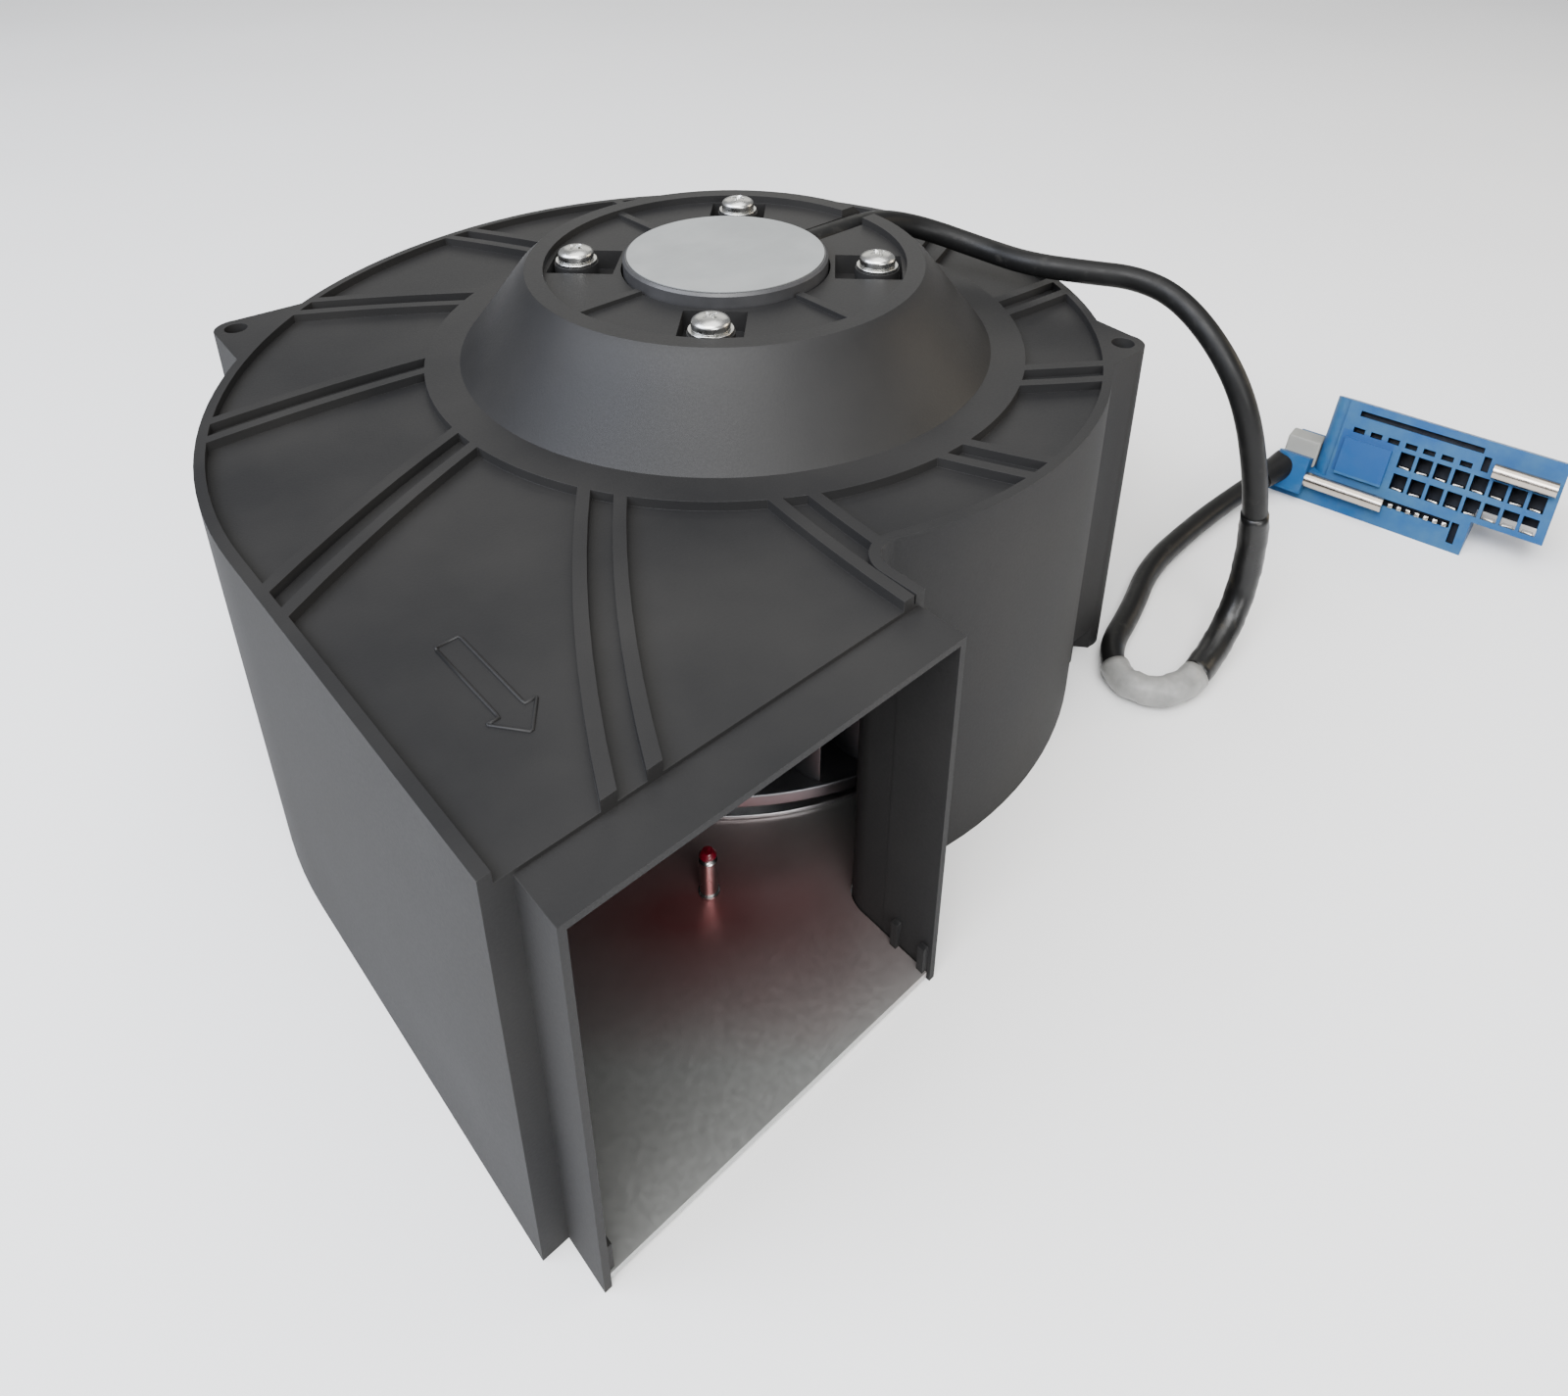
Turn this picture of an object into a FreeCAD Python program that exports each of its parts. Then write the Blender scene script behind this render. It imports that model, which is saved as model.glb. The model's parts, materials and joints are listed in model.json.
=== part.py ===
import FreeCAD, Part
import math
import os
import Sketcher
from FreeCAD import Placement, Rotation, Vector

# DC blower fan, single inlet, millimetres
# The wheel turns about the Z axis, the outlet blows towards -Y and the fan stands on z = 0.

doc = FreeCAD.newDocument("dc_blower_fan")
sheet = doc.addObject("Spreadsheet::Sheet", "Sizes")

DIMENSIONS = {
    # Spiral of the scroll, which grows in four quarters round the wheel
    "cutoff_gap": 9.8,
    "growth_one": 4.5,
    "growth_two": 7.5,
    "growth_three": 14.5,
    "spiral_offset": 1.0,
    "outlet_width": 86.2,
    "cutoff_fillet": 5.0,
    "step_beyond": 7.0,
    "wall": 2.5,
    # Heights of the housing
    "rim_top": 92.0,
    "rim_width": 2.2,
    "panel_drop": 2.2,
    "panel_thickness": 2.8,
    # Outlet collar
    "collar_inset_left": 5.0,
    "collar_inset_right": 1.2,
    "collar_length": 10.5,
    "collar_wall": 1.4,
    "collar_drop": 3.0,
    # Motor dome
    "ring_radius": 72.8,
    "ring_width": 9.8,
    "dome_foot_edge": 2.0,
    "dome_foot_flare": 1.6,
    "dome_height": 20.5,
    "dome_edge": 2.2,
    "dome_shoulder": 2.5,
    "dome_wall": 4.0,
    "rim_land": 4.4,
    "recess_margin": 7.0,
    "recess_depth": 2.0,
    "hub_floor": 7.4,
    "cap_clearance": 0.5,
    "pocket_size": 14.4,
    "pocket_depth": 5.0,
    "pocket_margin": 1.1,
    "pillar_radius": 5.3,
    "spoke_count": 4,
    "spoke_width": 2.0,
    "spoke_height": 1.1,
    "channel_width": 7.4,
    "channel_depth": 8.2,
    # Rib pairs on the panel
    "rib_pairs": 12,
    "rib_width": 2.6,
    "rib_gap": 4.6,
    "rib_lean": 23.0,
    "rib_bend": 340.0,
    "rib_reach": 90.0,
    "rib_turn": -1.0,
    "rib_tuck": 4.0,
    # Mounting ears, by their angle round a quarter of the spiral and how far they stand out of it
    "ear_rear_angle": 131.2,
    "ear_rear_reach": 8.1,
    "ear_side_angle": -47.7,
    "ear_side_reach": 3.6,
    "ear_tip": 5.2,
    "ear_lean": 32.0,
    "ear_half_angle": 8.5,
    "ear_root_depth": 10.0,
    "ear_hole": 5.5,
    "notch_turn": 4.8,
    "notch_half_angle": 1.85,
    "notch_skin": 0.8,
    "notch_reach": 12.0,
    "notch_height": 7.0,
    # Base plate with its stud, and the rails that hold it
    "plate_z": 1.0,
    "plate_thickness": 1.5,
    "plate_clearance": 0.25,
    "plate_setback": 0.6,
    "plate_lap": 6.0,
    "rail_height": 7.0,
    "rail_depth": 1.3,
    "rail_width": 1.6,
    "rail_root": 1.0,
    "rail_setback": 16.5,
    "rail_spacing": 52.0,
    "rail_edge": 1.8,
    "rail_pitch": 7.2,
    "stud_x": -61.7,
    "stud_y": -64.6,
    "stud_diameter": 4.0,
    "stud_height": 10.5,
    "stud_head_radius": 3.4,
    "stud_head": 0.9,
    "stud_collar_radius": 2.35,
    "stud_shoulder": 0.5,
    "stud_chamfer": 0.5,
    "lacquer_height": 2.2,
    "lacquer_edge": 0.1,
    "lacquer_belly": 0.4,
    "lacquer_crown": 0.6,
    # Inlet ring
    "throat_step": 10.0,
    "inlet_sheet": 1.2,
    "inlet_bend": 9.0,
    "inlet_hole_gap": 0.3,
    "inlet_flange_lap": 7.0,
    "inlet_rivet_edge": 3.0,
    "inlet_rivets": 6,
    "inlet_rivet_turn": 30.0,
    "inlet_lap": 5.0,
    # Wheel
    "wheel_radius": 79.2,
    "wheel_headroom": 8.0,
    "wheel_clearance": 15.5,
    "wheel_sheet": 1.2,
    "wheel_lip": 3.4,
    "blade_count": 36,
    "blade_depth": 14.0,
    "blade_inset": 1.7,
    "blade_sheet": 0.9,
    "blade_inlet_angle": 75.0,
    "blade_outlet_angle": 145.0,
    # Motor, stator side
    "flange_margin": 5.6,
    "flange_thickness": 4.0,
    "tube_radius": 12.0,
    "tube_length": 42.0,
    "tube_shoulder": 7.2,
    "bearing_radius": 9.5,
    "bearing_width": 6.0,
    "bearing_lip": 2.0,
    "race_split": 5.2,
    "race_gap": 0.3,
    "spring_thickness": 0.8,
    "core_radius": 30.6,
    "core_height": 20.0,
    "core_drop": 9.5,
    "yoke_width": 5.5,
    "slot_count": 12,
    "tooth_width": 4.6,
    "shoe_depth": 2.2,
    "shoe_slope": 0.8,
    "slot_mouth": 2.6,
    "coil_overhang": 2.6,
    "coil_depth": 2.0,
    "coil_foot": 0.84,
    "coil_start": 2.0,
    "coil_gap": 0.6,
    "board_play": 2.0,
    "board_clearance": 1.2,
    "board_thickness": 1.6,
    "board_drop": 3.0,
    "post_margin": 5.0,
    "post_radius": 1.8,
    "post_count": 3,
    "parts_margin": 11.5,
    "chip_size": 6.0,
    "chip_height": 1.6,
    "capacitor_radius": 2.6,
    "capacitor_height": 2.4,
    "cap_radius": 24.7,
    "cap_rise": 1.2,
    "cap_edge": 0.6,
    "label_margin": 1.0,
    "label_thickness": 0.3,
    # Motor, rotor side
    "magnet_gap": 0.6,
    "magnet_thickness": 3.0,
    "magnet_lead": 3.0,
    "can_wall": 1.6,
    "can_drop": 3.6,
    "can_floor_gap": 6.0,
    "can_corner": 2.5,
    "can_hub_radius": 8.0,
    "can_hub_height": 2.5,
    "can_flange_width": 10.2,
    "shaft_radius": 3.0,
    "shaft_gap": 0.8,
    "shaft_chamfer": 0.5,
    "clip_width": 1.6,
    "clip_thickness": 0.7,
    "rivet_count": 6,
    "rivet_edge": 3.5,
    "rivet_radius": 1.6,
    "rivet_head": 1.2,
    # Motor screws
    "screw_circle": 36.4,
    "screw_count": 4,
    "screw_turn": 45.0,
    "screw_radius": 2.0,
    "screw_play": 0.2,
    "screw_head_radius": 4.3,
    "screw_head_height": 3.2,
    "screw_side_share": 0.55,
    "screw_shoulder_share": 0.92,
    "screw_shoulder_width": 0.72,
    "screw_crown_width": 0.3,
    "screw_grip": 3.0,
    "washer_radius": 5.0,
    "washer_thickness": 0.8,
    # Cable
    "cable_diameter": 6.4,
    "sleeve_diameter": 7.9,
    "wrap_diameter": 8.4,
    "cable_drop": 4.2,
    "relief_end": 46.0,
    "relief_straight": 6.0,
    "relief_gap": 0.2,
    # Connector, measured along and up its leaning face
    "plug_x": 178.3,
    "plug_y": -78.7,
    "plug_heading": -81.7,
    "plug_lean": 25.0,
    "plug_start": 6.3,
    "plug_end": 68.0,
    "plug_face": 36.5,
    "plug_lift": 11.0,
    "plug_depth": 14.0,
    "plug_draft": 2.5,
    "web_lap": 1.0,
    "lug_length": 4.5,
    "lug_setback": 1.0,
    "lug_round": 3.5,
    "rail_start": -9.0,
    "rail_end": 49.0,
    "rail_face": 10.0,
    "boss_end": 1.2,
    "boss_rise": 5.2,
    "boss_depth": 1.2,
    "boss_round": 3.0,
    "boss_low": 2.0,
    "boss_top": 14.2,
    "socket_pitch": 5.2,
    "socket_columns": 8,
    "socket_start": 26.9,
    "socket_width": 4.2,
    "socket_length": 5.2,
    "socket_depth": 8.0,
    "socket_row_one": 22.6,
    "socket_row_two": 15.4,
    "slot_row": 27.5,
    "slot_start": 11.4,
    "slot_width": 3.4,
    "slot_length": 1.7,
    "slot_columns": 7,
    "key_start": 8.4,
    "key_end": 22.4,
    "key_low": 12.2,
    "key_high": 24.5,
    "key_rise": 1.6,
    "groove_low": 32.2,
    "groove_high": 34.0,
    "groove_start": 10.2,
    "groove_end": 46.0,
    "groove_depth": 4.0,
    "groove_gap": 0.6,
    "groove_width": 2.0,
    "contact_slot_low": 7.0,
    "contact_slot_high": 9.2,
    "contact_slot_foot": 2.6,
    "contact_thickness": 0.6,
    "contact_margin": 0.6,
    "contact_setback": 0.3,
    "tooth_pitch": 2.6,
    "tooth_size": 1.3,
    "tooth_start": 26.9,
    "tooth_count": 7,
    "pin_diameter": 5.0,
    "pin_gap": 0.1,
    "pin_row_one": 7.2,
    "pin_row_two": 28.2,
    "pin_one_end": 25.0,
    "pin_two_start": 50.0,
    "clamp_start": -8.5,
    "clamp_rise": 8.0,
    "clamp_inset": 2.0,
    "clamp_depth": 6.0,
    "boot_radius": 3.6,
    "boot_end_radius": 4.6,
    "boot_length": 13.0,
}

for row, (alias, number) in enumerate(DIMENSIONS.items(), start=1):
    cell = "B%d" % row
    sheet.set("A%d" % row, alias)
    sheet.set(cell, str(number))
    sheet.setAlias(cell, alias)
doc.recompute()


# Sizes that carry their number and the spreadsheet expression that gives it

class Size:
    def __init__(self, value, text):
        self.value = float(value)
        self.text = text

    def __add__(self, other):
        other = as_size(other)
        return Size(self.value + other.value, "(%s + %s)" % (self.text, other.text))

    def __radd__(self, other):
        return as_size(other) + self

    def __sub__(self, other):
        other = as_size(other)
        return Size(self.value - other.value, "(%s - %s)" % (self.text, other.text))

    def __rsub__(self, other):
        return as_size(other) - self

    def __mul__(self, other):
        other = as_size(other)
        return Size(self.value * other.value, "(%s * %s)" % (self.text, other.text))

    def __rmul__(self, other):
        return as_size(other) * self

    def __truediv__(self, other):
        other = as_size(other)
        return Size(self.value / other.value, "(%s / %s)" % (self.text, other.text))

    def __rtruediv__(self, other):
        return as_size(other) / self

    def __neg__(self):
        return Size(-self.value, "(0 - %s)" % self.text)


def as_size(number):
    return number if isinstance(number, Size) else Size(number, repr(float(number)))


def size(alias):
    return Size(sheet.get(alias), "Sizes.%s" % alias)


def root(number):
    return Size(math.sqrt(number.value), "sqrt(%s)" % number.text)


def cosine(angle):
    angle = as_size(angle)
    return Size(math.cos(math.radians(angle.value)), "cos(%s)" % angle.text)


def sine(angle):
    angle = as_size(angle)
    return Size(math.sin(math.radians(angle.value)), "sin(%s)" % angle.text)


def bind(thing, **sizes):
    for name, value in sizes.items():
        thing.setExpression(name, as_size(value).text)


def polar(radius, angle):
    return radius * cosine(angle), radius * sine(angle)


# Sketches, pads and turned pieces

def new_body(label):
    body = doc.addObject("PartDesign::Body", label)
    body.Label = label
    body.AllowCompound = True
    return body


def origin_feature(body, role):
    return next(feature for feature in body.Origin.OriginFeatures if feature.Role == role)


def new_sketch(body, name, role="XY_Plane", level=None):
    sketch = body.newObject("Sketcher::SketchObject", name)
    sketch.AttachmentSupport = [(origin_feature(body, role), "")]
    sketch.MapMode = "FlatFace"
    if level is not None:
        sketch.setExpression(".AttachmentOffset.Base.z", as_size(level).text)
    doc.recompute()
    return sketch


def turn_sketch(sketch, angle):
    """Turn a sketch about the Z axis."""
    sketch.AttachmentOffset = Placement(sketch.AttachmentOffset.Base, Rotation(Vector(0, 0, 1), angle.value))
    bind(sketch, **{".AttachmentOffset.Rotation.Angle": angle})
    doc.recompute()


def turn_piece(piece, angle):
    """Turn a whole piece about the Z axis."""
    piece.Placement = Placement(Vector(0, 0, 0), Rotation(Vector(0, 0, 1), angle.value))
    bind(piece, **{".Placement.Rotation.Angle": angle})


def tie_point(sketch, geometry, end, x=None, y=None):
    for kind, value in (("DistanceX", x), ("DistanceY", y)):
        if value is None:
            continue
        value = as_size(value)
        index = sketch.addConstraint(Sketcher.Constraint(kind, -1, 1, geometry, end, value.value))
        sketch.setExpression("Constraints[%d]" % index, value.text)


def draw_loop(sketch, start, steps):
    """Closed outline: each step is a corner (x, y) or an arc (x, y, centre_x, centre_y, turn)."""
    start = tuple(as_size(v) for v in start)
    here = start
    first = last = last_end = None
    for number, step in enumerate(steps):
        closing = number == len(steps) - 1
        point = tuple(as_size(v) for v in step[:2])
        a = Vector(here[0].value, here[1].value, 0)
        b = Vector(point[0].value, point[1].value, 0)
        if len(step) == 2:
            geometry = sketch.addGeometry(Part.LineSegment(a, b), False)
            begin, end = 1, 2
        else:
            centre_x, centre_y = as_size(step[2]), as_size(step[3])
            centre = Vector(centre_x.value, centre_y.value, 0)
            angle_a = math.atan2(a.y - centre.y, a.x - centre.x)
            angle_b = math.atan2(b.y - centre.y, b.x - centre.x)
            circle = Part.Circle(centre, Vector(0, 0, 1), (a - centre).Length)
            if step[4] > 0:
                geometry = sketch.addGeometry(Part.ArcOfCircle(circle, angle_a, angle_b), False)
                begin, end = 1, 2
            else:
                geometry = sketch.addGeometry(Part.ArcOfCircle(circle, angle_b, angle_a), False)
                begin, end = 2, 1
            tie_point(sketch, geometry, 3, centre_x, centre_y)
        if first is None:
            first = (geometry, begin)
            tie_point(sketch, geometry, begin, *start)
        else:
            sketch.addConstraint(Sketcher.Constraint("Coincident", last, last_end, geometry, begin))
        if closing:
            sketch.addConstraint(Sketcher.Constraint("Coincident", geometry, end, *first))
        elif len(step) == 2:
            tie_point(sketch, geometry, end, *point)
        elif abs(b.y - centre.y) > abs(b.x - centre.x):
            tie_point(sketch, geometry, end, x=point[0])
        else:
            tie_point(sketch, geometry, end, y=point[1])
        last, last_end, here = geometry, end, point


def draw_circle(sketch, radius, x=0.0, y=0.0):
    radius, x, y = as_size(radius), as_size(x), as_size(y)
    centre = Vector(x.value, y.value, 0)
    circle = sketch.addGeometry(Part.Circle(centre, Vector(0, 0, 1), radius.value), False)
    tie_point(sketch, circle, 3, x, y)
    index = sketch.addConstraint(Sketcher.Constraint("Radius", circle, radius.value))
    sketch.setExpression("Constraints[%d]" % index, radius.text)


def draw_rectangle(sketch, x_low, y_low, x_high, y_high):
    draw_loop(sketch, (x_low, y_low), [(x_high, y_low), (x_high, y_high), (x_low, y_high), (x_low, y_low)])


def pad(body, sketch, length, name):
    feature = body.newObject("PartDesign::Pad", name)
    feature.Profile = sketch
    bind(feature, Length=length)
    doc.recompute()
    return feature


def pocket(body, sketch, length, name, upward=False):
    feature = body.newObject("PartDesign::Pocket", name)
    feature.Profile = sketch
    feature.Reversed = upward
    before = body.Shape.Volume
    bind(feature, Length=length)
    doc.recompute()
    if body.Shape.Volume >= before:
        raise RuntimeError("%s cuts nothing" % feature.Label)
    return feature


def ring_pattern(body, features, count, name):
    pattern = body.newObject("PartDesign::PolarPattern", name)
    pattern.Originals = features
    pattern.Axis = (origin_feature(body, "Z_Axis"), [""])
    pattern.Angle = 360
    bind(pattern, Occurrences=count)
    body.Tip = pattern
    doc.recompute()


def turned(label, start, steps, axis_x=None, body=None):
    """Piece turned about the Z axis, or about the vertical line at axis_x, from a profile in X and Z."""
    body = body or new_body(label)
    sketch = new_sketch(body, label + "_profile", "XZ_Plane")
    draw_loop(sketch, start, steps)
    feature = body.newObject("PartDesign::Revolution", label + "_turned")
    feature.Profile = sketch
    if axis_x is None:
        feature.ReferenceAxis = (sketch, ["V_Axis"])
    else:
        axis_x = as_size(axis_x)
        foot, head = Vector(axis_x.value, 0, 0), Vector(axis_x.value, rim_top.value, 0)
        line = sketch.addGeometry(Part.LineSegment(foot, head), True)
        tie_point(sketch, line, 1, axis_x, 0)
        tie_point(sketch, line, 2, axis_x, rim_top)
        feature.ReferenceAxis = (sketch, ["Axis0"])
    feature.Angle = 360
    doc.recompute()
    return body


def turned_ring(label, inner, outer, low, high):
    return turned(label, (inner, low), [(outer, low), (outer, high), (inner, high), (inner, low)])


# Levels and radii that several pieces share

SPARE = 1.0  # how far a cut passes the face that it opens
rim_top = size("rim_top")
panel_top = rim_top - size("panel_drop")
ceiling = panel_top - size("panel_thickness")
collar_top = rim_top - size("collar_drop")
plateau = rim_top + size("dome_height")
recess_floor = plateau - size("recess_depth")
hub_underside = recess_floor - size("hub_floor")
bearing_top = hub_underside - size("bearing_lip")
upper_bearing_low = bearing_top - size("spring_thickness") - size("bearing_width")
plate_low = size("plate_z")
plate_top = plate_low + size("plate_thickness")
wheel_top = ceiling - size("wheel_headroom")
flange_low = hub_underside - size("flange_thickness")
tube_low = hub_underside - size("tube_length")
core_high = flange_low - size("core_drop")
core_low = core_high - size("core_height")
board_low = flange_low - size("board_drop") - size("board_thickness")
shaft_radius = size("shaft_radius")
can_inner = size("core_radius") + size("magnet_gap") + size("magnet_thickness")
can_outer = can_inner + size("can_wall")
can_flange = can_outer + size("can_flange_width")
can_top = flange_low - size("can_drop")
can_floor = tube_low - size("can_floor_gap")
can_rivet_circle = can_flange - size("rivet_edge")
wheel_radius = size("wheel_radius")
wheel_bottom = plate_top + size("wheel_clearance")
blade_outer = wheel_radius - size("blade_inset")
blade_inner = blade_outer - size("blade_depth")
throat = blade_inner - size("throat_step")
inlet_hole = throat + size("inlet_sheet") + size("inlet_bend") + size("inlet_hole_gap")
inlet_flange = inlet_hole + size("inlet_flange_lap")
inlet_rivet_circle = inlet_flange - size("inlet_rivet_edge")
inlet_top = wheel_bottom + size("inlet_lap")
tube_radius = size("tube_radius")
core_back = tube_radius + size("yoke_width")
board_outer = can_inner - size("board_clearance")
parts_circle = board_outer - size("parts_margin")
hub_bore = size("cap_radius") + size("cap_clearance")
recess_radius = size("screw_circle") + size("recess_margin")
label_level = plateau + size("cap_rise")
cable_level = plateau - size("cable_drop")

# Four-centre spiral of the scroll, outside faces: each quarter turns about its own centre

wall = size("wall")
radius_cutoff = wheel_radius + size("cutoff_gap") + wall
radius_front = radius_cutoff + size("growth_one")
radius_right = radius_front + size("growth_two")
radius_back = radius_right + size("growth_three")
front_x, front_y = size("spiral_offset"), size("growth_one")
right_x = front_x - size("growth_two")
back_y = front_y - size("growth_three")
scroll_left = radius_back - right_x
scroll_back = radius_back + back_y
scroll_front = radius_front - front_y
cutoff_x = scroll_left - size("outlet_width")
step_y = scroll_front + size("step_beyond")
collar_front = step_y + size("collar_length")
collar_left = -(scroll_left - size("collar_inset_left"))
collar_right = -(cutoff_x + size("collar_inset_right"))

# Flank of the dome

dome_foot = size("ring_radius") - size("ring_width")
dome_foot_level = rim_top + size("dome_foot_edge")
rim_radius = recess_radius + size("rim_land")
dome_shoulder = rim_radius + size("dome_shoulder")
dome_shoulder_level = plateau - size("dome_edge")
dome_slope = (dome_foot - dome_shoulder) / (dome_shoulder_level - dome_foot_level)
dome_inner_top = dome_shoulder + dome_slope * (dome_shoulder_level - hub_underside) - size("dome_wall")
dome_inner_foot = dome_inner_top + dome_slope * (hub_underside - ceiling)


def whole(alias):
    """A count from the sheet."""
    return int(size(alias).value)


def scroll_loop(sketch, inset, front):
    """Outline of the scroll, every face moved inwards by inset, its front edge at y = -front."""
    inset = as_size(inset)
    left = -(scroll_left - inset)
    wall_x = -(cutoff_x + inset)
    fillet = size("cutoff_fillet") + inset
    cutoff = radius_cutoff - inset
    fillet_x = wall_x + fillet
    span = front_x - fillet_x
    reach = cutoff + fillet
    fillet_y = -root(reach * reach - span * span)
    draw_loop(sketch, (left, -front), [
        (left, back_y),
        (right_x, scroll_back - inset, right_x, back_y, -1),
        (right_x + radius_right - inset, front_y, right_x, front_y, -1),
        (front_x, -(scroll_front - inset), front_x, front_y, -1),
        (front_x - span * cutoff / reach, fillet_y * cutoff / reach, front_x, 0, -1),
        (wall_x, fillet_y, fillet_x, fillet_y, 1),
        (wall_x, -front),
        (left, -front),
    ])


# Scroll housing: side wall, panel, dome, collar and ears in one moulding

EARS = {
    "rear": (right_x, back_y, radius_back),
    "side": (front_x, front_y, radius_front),
}


def ear_centre(name):
    """Axis of an ear's hole, outside the quarter of the spiral that carries the ear."""
    x, y, radius = EARS[name]
    out_x, out_y = polar(radius + size("ear_%s_reach" % name), size("ear_%s_angle" % name))
    return x + out_x, y + out_y


def add_ear(body, name):
    """Column with a rounded tip that grows out of the side wall over its full height."""
    x, y, radius = EARS[name]
    angle, half, lean = size("ear_%s_angle" % name), size("ear_half_angle"), size("ear_lean")
    root_depth = size("ear_root_depth")
    tip_x, tip_y = ear_centre(name)
    tip_one, tip_two = polar(size("ear_tip"), angle - 90 + lean), polar(size("ear_tip"), angle + 90 - lean)
    corners = [(x + out_x, y + out_y) for out_x, out_y in (
        polar(radius - root_depth, angle - half), polar(radius - wall / 2, angle - half),
        polar(radius - wall / 2, angle + half), polar(radius - root_depth, angle + half))]
    sketch = new_sketch(body, name + "_ear_outline")
    draw_loop(sketch, corners[0], [
        corners[1],
        (tip_x + tip_one[0], tip_y + tip_one[1]),
        (tip_x + tip_two[0], tip_y + tip_two[1], tip_x, tip_y, 1),
        corners[2],
        corners[3],
        corners[0],
    ])
    pad(body, sketch, rim_top, name + "_ear")


def add_notch(body):
    """Open notch in the foot of the side ear, beside its hole."""
    x, y, radius = EARS["side"]
    angle, half = size("ear_side_angle") - size("notch_turn"), size("notch_half_angle")
    near, far = radius + size("notch_skin"), radius + size("notch_reach")
    corners = [(x + out_x, y + out_y) for out_x, out_y in (
        polar(near, angle - half), polar(far, angle - half),
        polar(far, angle + half), polar(near, angle + half))]
    sketch = new_sketch(body, "notch_outline")
    draw_loop(sketch, corners[0], corners[1:] + corners[:1])
    pocket(body, sketch, size("notch_height"), "notch", upward=True)


def add_rail(body, name, x, y, angle):
    """Upright rail inside the wall, over the base plate, with a snap nose under the plate."""
    depth, width, root_depth = size("rail_depth"), size("rail_width"), size("rail_root")
    for part, level, height in (("rail", plate_top, size("rail_height")), ("nose", 0, plate_low)):
        sketch = new_sketch(body, "%s_%s" % (name, part), level=level)
        along = (-sine(angle) * width / 2, cosine(angle) * width / 2)
        back = (cosine(angle) * root_depth, sine(angle) * root_depth)
        inward = (-cosine(angle) * depth, -sine(angle) * depth)
        corners = [
            (x + back[0] - along[0], y + back[1] - along[1]),
            (x + inward[0] - along[0], y + inward[1] - along[1]),
            (x + inward[0] + along[0], y + inward[1] + along[1]),
            (x + back[0] + along[0], y + back[1] + along[1]),
        ]
        draw_loop(sketch, corners[0], corners[1:] + corners[:1])
        pad(body, sketch, height, "%s_%s_pad" % (name, part))


def add_rails(body):
    inner_left = -(scroll_left - wall)
    first = -(step_y - size("rail_setback"))
    near = -(collar_front - size("rail_edge"))
    collar_wall = size("collar_wall")
    add_rail(body, "duct_front", inner_left, first, 180)
    add_rail(body, "duct_back", inner_left, first + size("rail_spacing"), 180)
    add_rail(body, "collar_left", collar_left + collar_wall, near, 180)
    add_rail(body, "collar_right", collar_right - collar_wall, near, 0)
    add_rail(body, "collar_deep", collar_right - collar_wall, near + size("rail_pitch"), 0)
    for quarter, x, y, radius, angles in (
            ("back", right_x, back_y, radius_back, (150, 105)),
            ("right", right_x, front_y, radius_right, (60, 15)),
            ("front", front_x, front_y, radius_front, (-30, -72))):
        for number, angle in enumerate(angles):
            out_x, out_y = polar(radius - wall, angle)
            add_rail(body, "%s_%d" % (quarter, number), x + out_x, y + out_y, angle)


def add_dome(body):
    ring = size("ring_radius")
    turned("dome", (ring, ceiling), [
        (ring, rim_top),
        (dome_foot + size("dome_foot_flare"), rim_top),
        (dome_foot, dome_foot_level),
        (dome_shoulder, dome_shoulder_level),
        (rim_radius, plateau),
        (recess_radius, plateau),
        (recess_radius, recess_floor),
        (hub_bore, recess_floor),
        (hub_bore, hub_underside),
        (dome_inner_top, hub_underside),
        (dome_inner_foot, ceiling),
        (ring, ceiling),
    ], body=body)


def screw_places():
    """Centres of the motor screws."""
    pitch = 360 / size("screw_count")
    return [polar(size("screw_circle"), size("screw_turn") + pitch * number)
            for number in range(whole("screw_count"))]


def add_hub_details(body):
    half, margin = size("pocket_size") / 2, size("pocket_margin")
    pockets = new_sketch(body, "screw_pocket_outline", level=recess_floor)
    draw_rectangle(pockets, hub_bore + margin, -half, recess_radius - margin, half)
    draw_circle(pockets, size("pillar_radius"), size("screw_circle"))
    turn_sketch(pockets, size("screw_turn"))
    cut = pocket(body, pockets, size("pocket_depth"), "screw_pocket")
    ring_pattern(body, [cut], size("screw_count"), "screw_pockets")

    holes = new_sketch(body, "screw_hole_outline", level=recess_floor)
    for x, y in screw_places():
        draw_circle(holes, size("screw_radius") + size("screw_play"), x, y)
    pocket(body, holes, size("hub_floor"), "screw_holes")

    spoke = new_sketch(body, "spoke_outline", level=recess_floor)
    width = size("spoke_width") / 2
    draw_rectangle(spoke, hub_bore + margin / 2, -width, recess_radius + SPARE, width)
    rib = pad(body, spoke, size("spoke_height"), "spoke")
    ring_pattern(body, [rib], size("spoke_count"), "spokes")

    channel = new_sketch(body, "cable_channel_outline", level=plateau)
    channel_half = size("channel_width") / 2
    draw_rectangle(channel, hub_bore - SPARE, -channel_half, dome_foot, channel_half)
    pocket(body, channel, size("channel_depth"), "cable_channel")


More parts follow.
